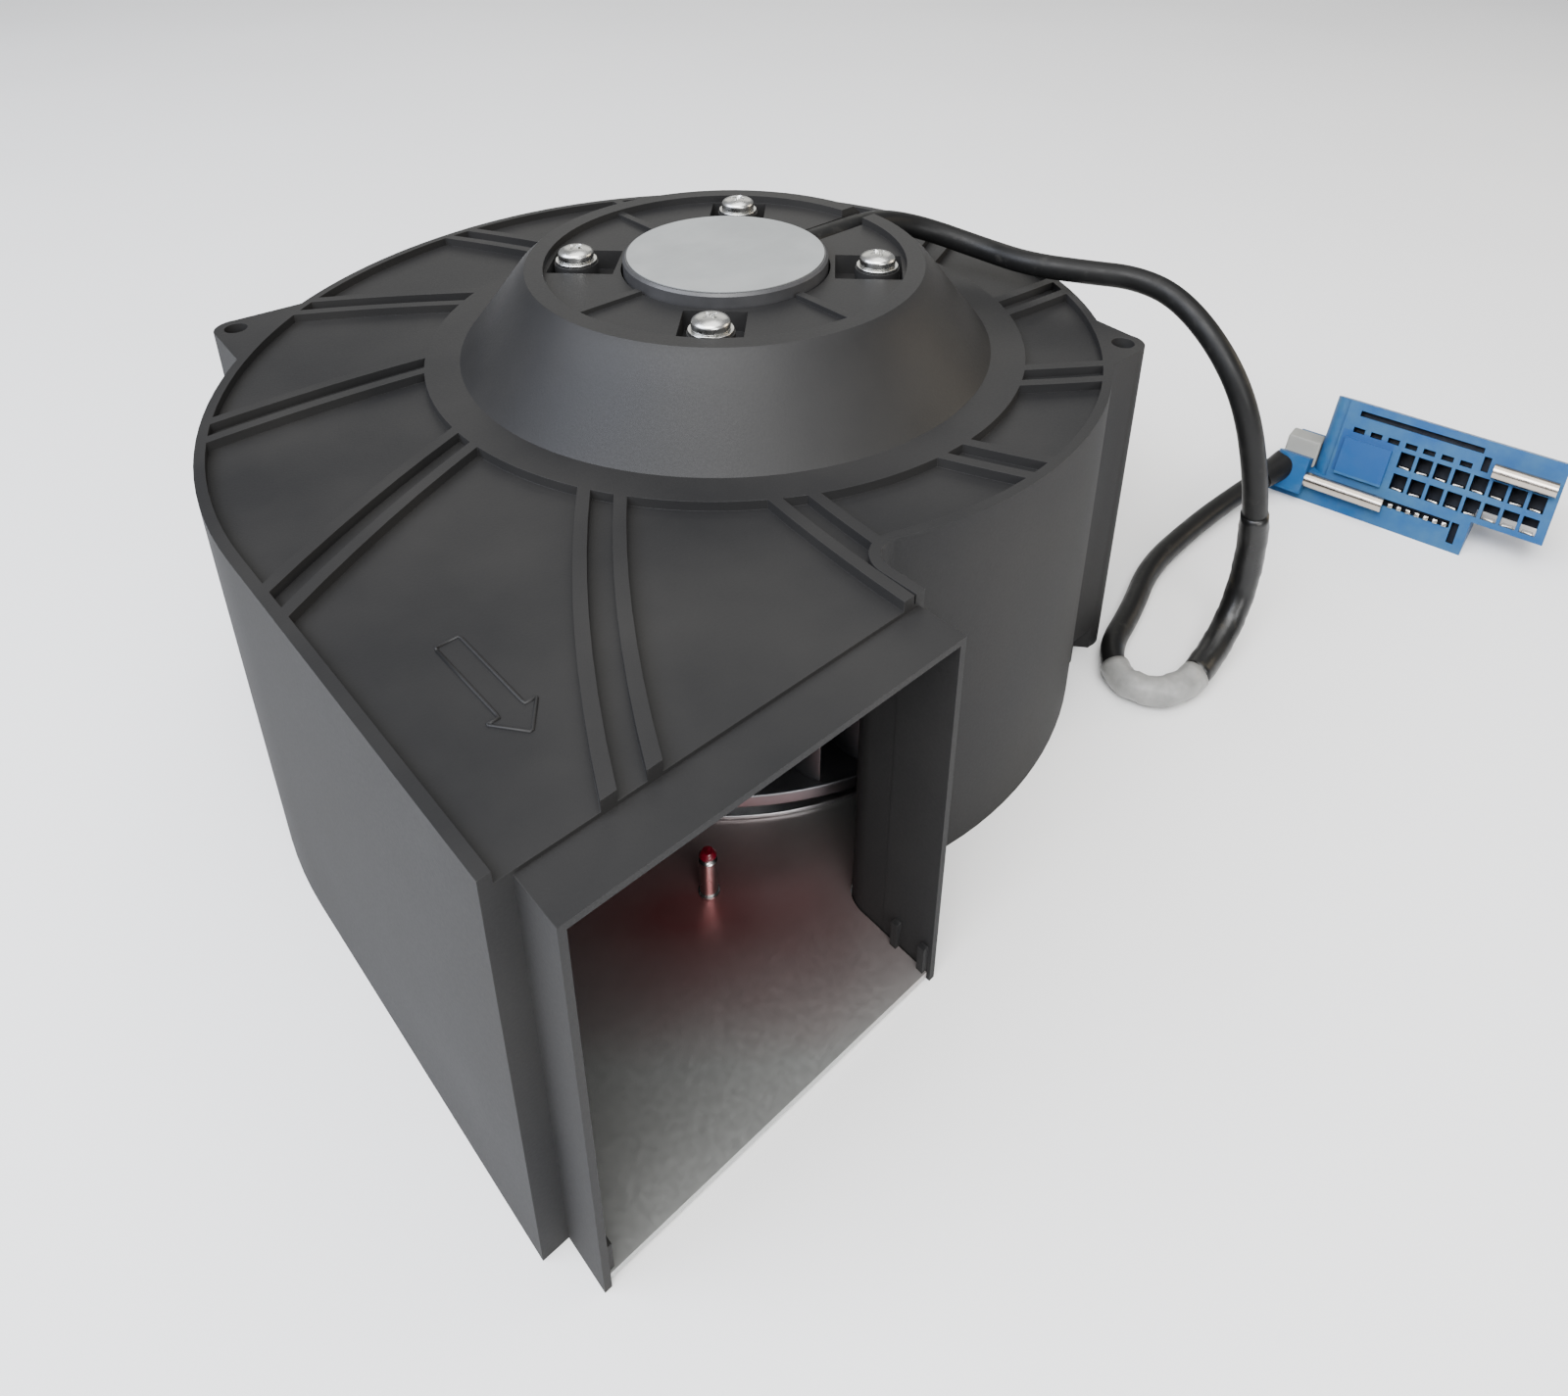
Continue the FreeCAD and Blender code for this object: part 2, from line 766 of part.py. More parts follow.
def housing_body():
    body = new_body("housing_body")
    outline = new_sketch(body, "scroll_outline")
    scroll_loop(outline, 0, step_y)
    pad(body, outline, rim_top, "scroll_block")
    for name in EARS:
        add_ear(body, name)

    collar = new_sketch(body, "collar_outline")
    draw_rectangle(collar, collar_left, -collar_front, collar_right, -(step_y - wall))
    pad(body, collar, collar_top, "collar")

    cavity = new_sketch(body, "cavity_outline")
    scroll_loop(cavity, wall, step_y - wall)
    pocket(body, cavity, ceiling, "cavity", upward=True)

    passage = new_sketch(body, "passage_outline", "XZ_Plane", collar_front)
    collar_wall = size("collar_wall")
    draw_rectangle(passage, collar_left + collar_wall, -SPARE,
                   collar_right - collar_wall, collar_top - collar_wall)
    pocket(body, passage, size("collar_length") + wall + SPARE, "passage")

    opening = new_sketch(body, "dome_opening", level=rim_top)
    draw_circle(opening, dome_inner_foot)
    pocket(body, opening, rim_top - ceiling, "dome_hole")
    add_dome(body)
    add_hub_details(body)
    add_rails(body)
    add_notch(body)

    holes = new_sketch(body, "ear_holes", level=rim_top)
    for name in EARS:
        draw_circle(holes, size("ear_hole") / 2, *ear_centre(name))
    pocket(body, holes, rim_top, "ear_hole_pocket")
    return body


def panel_recess():
    """Sunk part of the panel: everything inside the rim but the ring and the rib pairs."""
    body = new_body("panel_recess")
    outline = new_sketch(body, "recess_outline", level=panel_top)
    scroll_loop(outline, size("rim_width"), step_y + SPARE)
    pad(body, outline, size("panel_drop") + SPARE, "recess_block")
    ring = new_sketch(body, "ring_outline", level=panel_top)
    draw_circle(ring, size("ring_radius"))
    pocket(body, ring, size("panel_drop") + 2 * SPARE, "ring_core", upward=True)

    bend, lean = size("rib_bend"), size("rib_lean")
    start = size("ring_radius") - size("rib_tuck")
    half_gap, width = size("rib_gap") / 2, size("rib_width")
    centre_x = start - bend * sine(lean)
    centre_y = bend * cosine(lean)
    sketch = new_sketch(body, "rib_pair_outline", level=panel_top)
    first = lean - 90
    last = first + size("rib_reach") / bend * (180 / math.pi)
    for low, high in ((-half_gap - width, -half_gap), (half_gap, half_gap + width)):
        near, far = bend - high, bend - low
        near_start, near_end, far_start, far_end = [
            (centre_x + radius * cosine(angle), centre_y + radius * sine(angle))
            for radius in (near, far) for angle in (first, last)]
        draw_loop(sketch, far_start, [
            (*far_end, centre_x, centre_y, 1),
            near_end,
            (*near_start, centre_x, centre_y, -1),
            far_start,
        ])
    turn_sketch(sketch, size("rib_turn"))
    cut = pocket(body, sketch, size("panel_drop") + 2 * SPARE, "rib_pair", upward=True)
    ring_pattern(body, [cut], size("rib_pairs"), "rib_pairs_pattern")
    return body


def scroll_housing():
    cut = doc.addObject("Part::Cut", "scroll_housing")
    cut.Base = housing_body()
    cut.Tool = panel_recess()
    cut.Label = "scroll_housing"
    doc.recompute()
    return cut


# Base plate, stud, inlet ring

def rivet_holes(sketch, count, circle, turn=0.0):
    for number in range(count):
        draw_circle(sketch, size("rivet_radius"), *polar(circle, as_size(turn) + 360 * number / count))


def base_plate():
    body = new_body("base_plate")
    gap = size("plate_clearance")
    inset = wall + gap
    outline = new_sketch(body, "plate_outline", level=plate_low)
    scroll_loop(outline, inset, step_y - inset)
    pad(body, outline, size("plate_thickness"), "plate")
    side = size("collar_wall") + gap
    tongue = new_sketch(body, "plate_tongue_outline", level=plate_low)
    draw_rectangle(tongue, collar_left + side, -(collar_front - size("plate_setback")),
                   collar_right - side, -(step_y - size("plate_lap")))
    pad(body, tongue, size("plate_thickness"), "plate_tongue")
    hole = new_sketch(body, "inlet_hole_outline", level=plate_top)
    draw_circle(hole, inlet_hole)
    draw_circle(hole, size("stud_collar_radius"), size("stud_x"), size("stud_y"))
    rivet_holes(hole, whole("inlet_rivets"), inlet_rivet_circle, size("inlet_rivet_turn"))
    pocket(body, hole, size("plate_thickness"), "plate_holes")
    return body


def stand_at_stud(body):
    bind(body, **{".Placement.Base.x": size("stud_x"), ".Placement.Base.y": size("stud_y")})


def outlet_stud():
    """Stud pressed into the base plate, with a flat head below and a low shoulder above the plate."""
    shank, head, collar = size("stud_diameter") / 2, size("stud_head_radius"), size("stud_collar_radius")
    top, chamfer = plate_top + size("stud_height"), size("stud_chamfer")
    thread_low = plate_top + size("stud_shoulder")
    body = turned("outlet_stud", (0, plate_low - size("stud_head")), [
        (head, plate_low - size("stud_head")),
        (head, plate_low),
        (collar, plate_low),
        (collar, thread_low),
        (shank, thread_low),
        (shank, top - chamfer),
        (shank - chamfer, top),
        (0, top),
        (0, plate_low - size("stud_head")),
    ])
    stand_at_stud(body)
    return body


def stud_lacquer():
    """Drop of locking lacquer on the end of the stud."""
    shank, chamfer, edge = size("stud_diameter") / 2, size("stud_chamfer"), size("lacquer_edge")
    low = plate_top + size("stud_height")
    height = size("lacquer_height")
    body = turned("stud_lacquer", (0, low), [
        (shank - chamfer, low),
        (shank - edge, low + height * size("lacquer_belly")),
        (shank * size("lacquer_crown"), low + height - edge * 2),
        (0, low + height),
        (0, low),
    ])
    stand_at_stud(body)
    return body


def inlet_ring():
    """Bell mouth: a flange on the base plate that turns up into the eye of the wheel."""
    bend, thickness = size("inlet_bend"), size("inlet_sheet")
    outer = throat + thickness
    bend_x, bend_z = outer + bend, plate_top + thickness + bend
    body = turned("inlet_ring", (inlet_flange, plate_top), [
        (inlet_flange, plate_top + thickness),
        (bend_x, plate_top + thickness),
        (outer, bend_z, bend_x, bend_z, -1),
        (outer, inlet_top),
        (throat, inlet_top),
        (throat, bend_z),
        (bend_x, plate_top, bend_x, bend_z, 1),
        (inlet_flange, plate_top),
    ])
    holes = new_sketch(body, "ring_rivet_outline", level=plate_top + thickness)
    rivet_holes(holes, whole("inlet_rivets"), inlet_rivet_circle, size("inlet_rivet_turn"))
    pocket(body, holes, thickness, "ring_rivet_holes")
    return body


def rivets(label, count, circle, low, high, turn=0.0):
    """Ring of rivets with a flat head on both sides of the sheets between low and high."""
    radius = size("rivet_radius")
    head, rise = radius + size("rivet_head"), radius / 2
    body = turned(label, (circle, low - rise), [
        (circle + radius, low - rise),
        (circle + head, low),
        (circle + radius, low),
        (circle + radius, high),
        (circle + head, high),
        (circle + radius, high + rise),
        (circle, high + rise),
        (circle, low - rise),
    ], axis_x=circle)
    ring_pattern(body, [body.Tip], count, label + "_ring")
    turn_piece(body, as_size(turn))
    return body


# Motor, the pieces that stand still

def motor_flange():
    bore, width, shoulder = size("bearing_radius"), size("bearing_width"), size("tube_shoulder")
    radius = size("screw_circle") + size("flange_margin")
    body = turned("motor_flange", (bore, tube_low), [
        (tube_radius, tube_low),
        (tube_radius, flange_low),
        (radius, flange_low),
        (radius, hub_underside),
        (shoulder, hub_underside),
        (shoulder, bearing_top),
        (bore, bearing_top),
        (bore, upper_bearing_low),
        (shoulder, upper_bearing_low),
        (shoulder, tube_low + width),
        (bore, tube_low + width),
        (bore, tube_low),
    ])
    holes = new_sketch(body, "flange_holes", level=hub_underside)
    for x, y in screw_places():
        draw_circle(holes, size("screw_radius"), x, y)
    pocket(body, holes, size("flange_thickness"), "flange_threads")
    return body


def bearings():
    split, gap, width = size("race_split"), size("race_gap"), size("bearing_width")
    for name, low in (("lower", tube_low), ("upper", upper_bearing_low)):
        turned_ring(name + "_bearing_outer", split + gap, size("bearing_radius"), low, low + width)
        turned_ring(name + "_bearing_inner", shaft_radius, split, low, low + width)


def preload_spring():
    return turned_ring("preload_spring", size("tube_shoulder"), size("bearing_radius"),
                       bearing_top - size("spring_thickness"), bearing_top)


def stator_core():
    body = new_body("stator_core")
    outline = new_sketch(body, "core_outline", level=core_low)
    draw_circle(outline, size("core_radius"))
    draw_circle(outline, tube_radius)
    pad(body, outline, size("core_height"), "core_block")
    slot = new_sketch(body, "slot_outline", level=core_high)
    face = size("core_radius") - size("shoe_depth")
    half_tooth, half_mouth = size("tooth_width") / 2, size("slot_mouth") / 2
    half_pitch = 180 / size("slot_count")
    low_half = core_back * sine(half_pitch) - half_tooth * cosine(half_pitch)
    high_half = face * sine(half_pitch) - half_tooth * cosine(half_pitch)
    low_x = core_back * cosine(half_pitch) + half_tooth * sine(half_pitch)
    high_x = face * cosine(half_pitch) + half_tooth * sine(half_pitch)
    mouth_x, outside = high_x + size("shoe_slope"), size("core_radius") + SPARE
    draw_loop(slot, (low_x, -low_half), [
        (high_x, -high_half),
        (mouth_x, -half_mouth),
        (outside, -half_mouth),
        (outside, half_mouth),
        (mouth_x, half_mouth),
        (high_x, high_half),
        (low_x, low_half),
        (low_x, -low_half),
    ])
    cut = pocket(body, slot, size("core_height"), "slot")
    ring_pattern(body, [cut], size("slot_count"), "slots")
    return body


def stator_coils():
    """One coil round each tooth."""
    body = new_body("stator_coils")
    over = size("coil_overhang")
    half_tooth, depth, foot = size("tooth_width") / 2, size("coil_depth"), size("coil_foot")
    near = core_back + size("coil_start")
    far = size("core_radius") - size("shoe_depth") - size("coil_gap")
    outline = new_sketch(body, "coil_outline", level=core_low - over)
    draw_loop(outline, (near, -(half_tooth + foot)), [
        (far, -(half_tooth + depth)),
        (far, half_tooth + depth),
        (near, half_tooth + foot),
        (near, -(half_tooth + foot)),
    ])
    outer = pad(body, outline, size("core_height") + over * 2, "coil_block")
    tooth = new_sketch(body, "coil_core_outline", "YZ_Plane", core_back)
    draw_rectangle(tooth, -half_tooth, core_low, half_tooth, core_high)
    inner = pocket(body, tooth, size("core_radius"), "coil_window", upward=True)
    ring_pattern(body, [outer, inner], size("slot_count"), "coils")
    turn_piece(body, 180 / size("slot_count"))
    return body


def drive_board():
    body = new_body("drive_board")
    outline = new_sketch(body, "board_outline", level=board_low)
    draw_circle(outline, board_outer)
    draw_circle(outline, tube_radius + size("board_play"))
    pad(body, outline, size("board_thickness"), "board")
    return body


def board_posts():
    circle = board_outer - size("post_margin")
    rim, high, low = circle + size("post_radius"), flange_low, board_low + size("board_thickness")
    body = turned("board_posts", (circle, low), [(rim, low), (rim, high), (circle, high), (circle, low)],
                  axis_x=circle)
    ring_pattern(body, [body.Tip], size("post_count"), "posts")
    return body


def board_parts():
    """Driver chips and capacitors on the upper side of the drive board."""
    body = new_body("board_parts")
    level = board_low + size("board_thickness")
    half = size("chip_size") / 2
    outline = new_sketch(body, "chip_outline", level=level)
    draw_rectangle(outline, parts_circle - half, -half, parts_circle + half, half)
    chip = pad(body, outline, size("chip_height"), "chip")
    outline = new_sketch(body, "capacitor_outline", level=level)
    draw_circle(outline, size("capacitor_radius"), *polar(parts_circle, 180 / size("post_count")))
    capacitor = pad(body, outline, size("capacitor_height"), "capacitor")
    ring_pattern(body, [chip, capacitor], size("post_count"), "parts_ring")
    return body


def terminal_cap():
    cap, edge = size("cap_radius"), size("cap_edge")
    return turned("terminal_cap", (0, hub_underside), [
        (cap, hub_underside),
        (cap, label_level - edge),
        (cap - edge, label_level),
        (0, label_level),
        (0, hub_underside),
    ])


def motor_label():
    radius = size("cap_radius") - size("label_margin")
    high = label_level + size("label_thickness")
    return turned("motor_label", (0, label_level), [
        (radius, label_level), (radius, high), (0, high), (0, label_level)])


def motor_screws():
    """Pan-head screws on washers, one per corner of the hub."""
    circle, shank = size("screw_circle"), size("screw_radius")
    seat, low = recess_floor + size("washer_thickness"), hub_underside - size("screw_grip")
    head, height = size("screw_head_radius"), size("screw_head_height")
    body = turned("motor_screws", (circle, low), [
        (circle + shank, low),
        (circle + shank, seat),
        (circle + head, seat),
        (circle + head, seat + height * size("screw_side_share")),
        (circle + head * size("screw_shoulder_width"), seat + height * size("screw_shoulder_share")),
        (circle + head * size("screw_crown_width"), seat + height),
        (circle, seat + height),
        (circle, low),
    ], axis_x=circle)
    ring_pattern(body, [body.Tip], size("screw_count"), "screw_ring")
    turn_piece(body, size("screw_turn"))
    return body


def motor_washers():
    circle, low = size("screw_circle"), recess_floor
    high = low + size("washer_thickness")
    inner, outer = circle + size("screw_radius") + size("screw_play"), circle + size("washer_radius")
    body = turned("motor_washers", (inner, low), [(outer, low), (outer, high), (inner, high), (inner, low)],
                  axis_x=circle)
    ring_pattern(body, [body.Tip], size("screw_count"), "washer_ring")
    turn_piece(body, size("screw_turn"))
    return body


# Rotor and wheel, the pieces that turn

def rotor_can():
    """Steel cup, open at the top, with a flange that sits on the back plate of the wheel."""
    wall, corner = size("can_wall"), size("can_corner")
    hub, rise = size("can_hub_radius"), size("can_hub_height")
    sheet_top = wheel_top + size("wheel_sheet")
    inner_floor, inner_corner = can_floor + wall, corner - 1
    body = turned("rotor_can", (shaft_radius, can_floor - rise), [
        (hub, can_floor - rise),
        (hub, can_floor),
        (can_outer - corner, can_floor),
        (can_outer, can_floor + corner),
        (can_outer, sheet_top),
        (can_flange, sheet_top),
        (can_flange, sheet_top + wall),
        (can_outer, sheet_top + wall),
        (can_outer, can_top),
        (can_inner, can_top),
        (can_inner, inner_floor + inner_corner),
        (can_inner - inner_corner, inner_floor),
        (hub, inner_floor),
        (hub, inner_floor + SPARE),
        (shaft_radius, inner_floor + SPARE),
        (shaft_radius, can_floor - rise),
    ])
    holes = new_sketch(body, "can_rivet_outline", level=sheet_top + wall)
    rivet_holes(holes, whole("rivet_count"), can_rivet_circle)
    pocket(body, holes, wall, "can_rivet_holes")
    return body


def rotor_magnet():
    lead = size("magnet_lead")
    return turned_ring("rotor_magnet", can_inner - size("magnet_thickness"), can_inner,
                       core_low - lead, core_high + lead)


def rotor_shaft():
    low, high = can_floor - size("can_hub_height"), hub_underside - size("shaft_gap")
    chamfer = size("shaft_chamfer")
    return turned("rotor_shaft", (0, low), [
        (shaft_radius, low),
        (shaft_radius, high - chamfer),
        (shaft_radius - chamfer, high),
        (0, high),
        (0, low),
    ])


def shaft_clip():
    low = upper_bearing_low + size("bearing_width")
    return turned_ring("shaft_clip", shaft_radius, shaft_radius + size("clip_width"),
                       low, low + size("clip_thickness"))


def wheel_back_plate():
    sheet_top = wheel_top + size("wheel_sheet")
    body = turned_ring("wheel_back_plate", can_outer, wheel_radius, wheel_top, sheet_top)
    holes = new_sketch(body, "back_plate_holes", level=sheet_top)
    rivet_holes(holes, whole("rivet_count"), can_rivet_circle)
    pocket(body, holes, size("wheel_sheet"), "back_plate_rivet_holes")
    return body


def wheel_end_ring():
    low, thickness = wheel_bottom, size("wheel_sheet")
    high = low + thickness
    return turned("wheel_end_ring", (blade_inner, low), [
        (wheel_radius - thickness, low),
        (wheel_radius - thickness, high - size("wheel_lip")),
        (wheel_radius, high - size("wheel_lip")),
        (wheel_radius, high),
        (blade_inner, high),
        (blade_inner, low),
    ])


def wheel_blades():
    """Forward-curved blades: one arc each, from the eye to the rim of the wheel."""
    low = (wheel_bottom + size("wheel_sheet")).value
    height = wheel_top.value - low
    near, far = blade_inner.value, blade_outer.value
    half = size("blade_sheet").value / 2
    inlet = math.radians(size("blade_inlet_angle").value)
    outlet = math.radians(size("blade_outlet_angle").value)
    bend = (far ** 2 - near ** 2) / (2 * (far * math.cos(math.pi - outlet) + near * math.cos(inlet)))
    start = Vector(near, 0, 0)
    heading = Vector(math.sin(inlet), -math.cos(inlet), 0)
    side = Vector(heading.y, -heading.x, 0)
    centre = start + side * (-bend)
    distance = centre.Length
    cosine_far = (far ** 2 + distance ** 2 - bend ** 2) / (2 * far * distance)
    base = math.atan2(centre.y, centre.x)
    candidates = [Vector(far * math.cos(base + sign * math.acos(cosine_far)),
                         far * math.sin(base + sign * math.acos(cosine_far)), 0) for sign in (-1, 1)]
    end = min(candidates, key=lambda point: (point - start).Length)
    first = math.atan2(start.y - centre.y, start.x - centre.x)
    last = math.atan2(end.y - centre.y, end.x - centre.x)
    if last < first:
        first, last = last, first
    axis = Vector(0, 0, 1)
    outer = Part.ArcOfCircle(Part.Circle(centre, axis, bend + half), first, last).toShape()
    inner = Part.ArcOfCircle(Part.Circle(centre, axis, bend - half), first, last).toShape()
    caps = [Part.makeLine(inner.valueAt(inner.FirstParameter), outer.valueAt(outer.FirstParameter)),
            Part.makeLine(inner.valueAt(inner.LastParameter), outer.valueAt(outer.LastParameter))]
    face = Part.Face(Part.Wire(Part.__sortEdges__([outer, inner] + caps)))
    blade = face.extrude(Vector(0, 0, height))
    blade.translate(Vector(0, 0, low))
    count = whole("blade_count")
    copies = []
    for number in range(count):
        copy = blade.copy()
        copy.rotate(Vector(0, 0, 0), axis, 360 * number / count)
        copies.append(copy)
    feature = doc.addObject("Part::Feature", "wheel_blades")
    feature.Shape = Part.makeCompound(copies)
    return feature


# Motor cable: straight runs joined by tangent arcs

FIRST_RUN = 7.5
BEND_SHARE = 0.45
CABLE_ROUTE = [
    (size("relief_end").value, 0, cable_level.value),
    (size("relief_end").value + FIRST_RUN, 0, cable_level.value),
    (66.5, -4.5, 104),
    (75.5, -18, 99.5),
    (76, -34, 99.5),
    (84, -47, 99),
    (91.5, -57, 98.5),
    (94, -68, 96),
    (92.5, -81.5, 88),
    (90.5, -92.5, 76),
    (94, -97.5, 55),
    (99.5, -98.5, 32.5),
    (95.5, -99.5, 14),
    (82, -101, 5.5),
    (63, -102.5, 4.7),
    (55, -91.5, 4.7),
    (64.5, -80.5, 4),
    (83, -76, 4),
    (105, -68, 3.6),
    (130, -67, 4.5),
    (151, -67.9, 5.9),
    (168, -70.3, 8.1),
]
SLEEVE_RUN, WRAP_RUN, LEAD_RUN = 10, 13, 15


def rounded_route(route):
    """The straight runs and the arcs of a route, as a list of (run number, edge)."""
    points = [Vector(*point) for point in route]
    edges = []
    here = points[0]
    for number in range(1, len(points) - 1):
        before, corner, after = points[number - 1:number + 2]
        into, out = (corner - before).normalize(), (after - corner).normalize()
        trim = BEND_SHARE * min((corner - before).Length, (after - corner).Length)
        half_turn = into.getAngle(out) / 2
        start, end = corner - into * trim, corner + out * trim
        radius = trim / math.tan(half_turn)
        centre = corner + (out - into).normalize() * (radius / math.cos(half_turn))
        middle = centre + (corner - centre).normalize() * radius
        edges.append((number - 1, Part.LineSegment(here, start).toShape()))
        edges.append((number, Part.Arc(start, middle, end).toShape()))
        turn = math.degrees(2 * half_turn)
        print("cable bend %2d: turn %3.0f degrees, radius %5.1f mm" % (number, turn, radius))
        here = end
    edges.append((len(points) - 2, Part.LineSegment(here, points[-1]).toShape()))
    return edges


def cable_length(edges):
    return sum(edge.Length for run, edge in edges)


def cable_piece(label, edges, diameter):
    """Round tube along the edges, swept from its starting circle."""
    path = doc.addObject("Part::Feature", label + "_path")
    path.Shape = Part.Wire([edge for run, edge in edges])
    first = edges[0][1]
    start = first.valueAt(first.FirstParameter)
    heading = first.tangentAt(first.FirstParameter)
    circle = doc.addObject("Part::Circle", label + "_section")
    circle.Placement = Placement(start, Rotation(Vector(0, 0, 1), heading))
    bind(circle, Radius=diameter / 2)
    tube = doc.addObject("Part::Sweep", label)
    tube.Label = label
    tube.Sections = [circle]
    tube.Spine = (path, ["Edge%d" % (number + 1) for number in range(len(edges))])
    tube.Solid = True
    tube.Frenet = False
    doc.recompute()
    section = math.pi * diameter.value ** 2 / 4
    print("%s: length %.1f mm, volume over section times length %.4f" % (
        label, cable_length(edges), tube.Shape.Volume / (section * cable_length(edges))))
    return tube


def split_run(edges, run):
    """Cut the edges in two at the middle of a straight run."""
    for position, (number, edge) in enumerate(edges):
        if number == run and edge.Curve.TypeId == "Part::GeomLine":
            start, end = edge.valueAt(edge.FirstParameter), edge.valueAt(edge.LastParameter)
            middle = (start + end) * 0.5
            before = edges[:position] + [(run, Part.LineSegment(start, middle).toShape())]
            return before, [(run, Part.LineSegment(middle, end).toShape())] + edges[position + 1:]


def cable():
    edges = rounded_route(CABLE_ROUTE)
    print("cable length %.1f mm" % cable_length(edges))
    motor_end, rest = split_run(edges, SLEEVE_RUN)
    sleeve, rest = split_run(rest, WRAP_RUN)
    wrap, lead = split_run(rest, LEAD_RUN)
    cable_piece("motor_cable", motor_end, size("cable_diameter"))
    cable_piece("cable_sleeve", sleeve, size("sleeve_diameter"))
    cable_piece("marker_wrap", wrap, size("wrap_diameter"))
    cable_piece("connector_lead", lead, size("cable_diameter"))


def strain_relief():
    """Tapered moulding in the hub channel that the motor cable leaves by."""
    body = new_body("strain_relief")
    start, end, gap = size("cap_radius"), size("relief_end"), size("relief_gap")
    sketch = new_sketch(body, "relief_profile", "XZ_Plane")
    wide, narrow = size("channel_width") / 2 - gap, size("cable_diameter") / 2 + gap
    draw_loop(sketch, (start, cable_level), [
        (end, cable_level),
        (end, cable_level + narrow),
        (start + size("relief_straight"), cable_level + wide),
        (start, cable_level + wide),
        (start, cable_level),
    ])
    feature = body.newObject("PartDesign::Revolution", "relief_turned")
    feature.Profile = sketch
    near, far = Vector(start.value, cable_level.value, 0), Vector(end.value, cable_level.value, 0)
    axis = sketch.addGeometry(Part.LineSegment(near, far), True)
    tie_point(sketch, axis, 1, start, cable_level)
    tie_point(sketch, axis, 2, end, cable_level)
    feature.ReferenceAxis = (sketch, ["Axis0"])
    feature.Angle = 360
    doc.recompute()
    return body


# Connector, lying on the floor with its face leaning back

lean_y, lean_z = sine(size("plug_lean")), cosine(size("plug_lean"))


def place_on_floor(body):
    body.Placement = Placement(Vector(0, 0, 0), Rotation(Vector(0, 0, 1), size("plug_heading").value))
    bind(body, **{".Placement.Base.x": size("plug_x"), ".Placement.Base.y": size("plug_y"),
                  ".Placement.Rotation.Angle": size("plug_heading")})


def face_point(up, depth):
    """Height up the leaning face and depth behind it, as (y, z) of the connector."""
    up, depth = as_size(up), as_size(depth)
    return up * lean_y + depth * lean_z, up * lean_z - depth * lean_y


def tilted_sketch(body, name, tilt, y, z):
    """Sketch turned about the X axis and moved to y, z."""
    sketch = new_sketch(body, name)
    sketch.AttachmentOffset = Placement(Vector(0, 0, 0), Rotation(Vector(1, 0, 0), tilt.value))
    bind(sketch, **{".AttachmentOffset.Rotation.Angle": tilt,
                    ".AttachmentOffset.Base.y": y, ".AttachmentOffset.Base.z": z})
    doc.recompute()
    return sketch


def face_sketch(body, name, rise=0.0):
    """Sketch on the leaning face: x runs along the connector, y up the face."""
    rise = as_size(rise)
    return tilted_sketch(body, name, 90 - size("plug_lean"), -(rise * lean_z), rise * lean_y)


def plan_sketch(body, name, up):
    """Sketch across the leaning face: x runs along the connector, y back from the face."""
    return tilted_sketch(body, name, -size("plug_lean"), up * lean_y, up * lean_z)


def section_pad(body, name, start, end, corners):
    sketch = new_sketch(body, name + "_section", "YZ_Plane", start)
    draw_loop(sketch, corners[0], corners[1:] + corners[:1])
    return pad(body, sketch, end - start, name)


def row_pattern(body, feature, sketch, pitch, count, name):
    pattern = body.newObject("PartDesign::LinearPattern", name)
    pattern.Originals = [feature]
    pattern.Direction = (sketch, ["H_Axis"])
    bind(pattern, Length=pitch * (count - 1), Occurrences=count)
    body.Tip = pattern
    doc.recompute()


def lead_boot():
    """Moulded boot that takes the lead into the connector."""
    end = Vector(*CABLE_ROUTE[-1])
    heading = end - Vector(*CABLE_ROUTE[-2])
    boot = doc.addObject("Part::Cone", "lead_boot")
    boot.Label = "lead_boot"
    boot.Placement = Placement(end, Rotation(Vector(0, 0, 1), heading))
    bind(boot, Radius1=size("boot_radius"), Radius2=size("boot_end_radius"), Height=size("boot_length"))
    doc.recompute()
    return boot


def cable_clamp():
    body = new_body("cable_clamp")
    low = size("rail_face") * lean_z
    near = size("rail_face") * lean_y + size("clamp_inset")
    rise, depth = size("clamp_rise"), size("clamp_depth")
    section_pad(body, "clamp", size("clamp_start"), size("plug_start") - size("lug_length"), [
        (near, low), (near + rise * lean_y, low + rise), (near + rise * lean_y + depth, low + rise),
        (near + depth, low)])
    place_on_floor(body)
    return body


def connector_body(boot):
    cut = doc.addObject("Part::Cut", "connector_body")
    cut.Base = connector_block()
    cut.Tool = boot
    cut.Label = "connector_body"
    doc.recompute()
    return cut


def socket_pair(sketch, x, half, foot_only=None):
    """Outline of one socket in each row, or of a strip of the given height along the foot of each."""
    for level in (size("socket_row_one"), size("socket_row_two")):
        low = level - size("socket_length") / 2
        draw_rectangle(sketch, x - half, low, x + half, low + (foot_only or size("socket_length")))


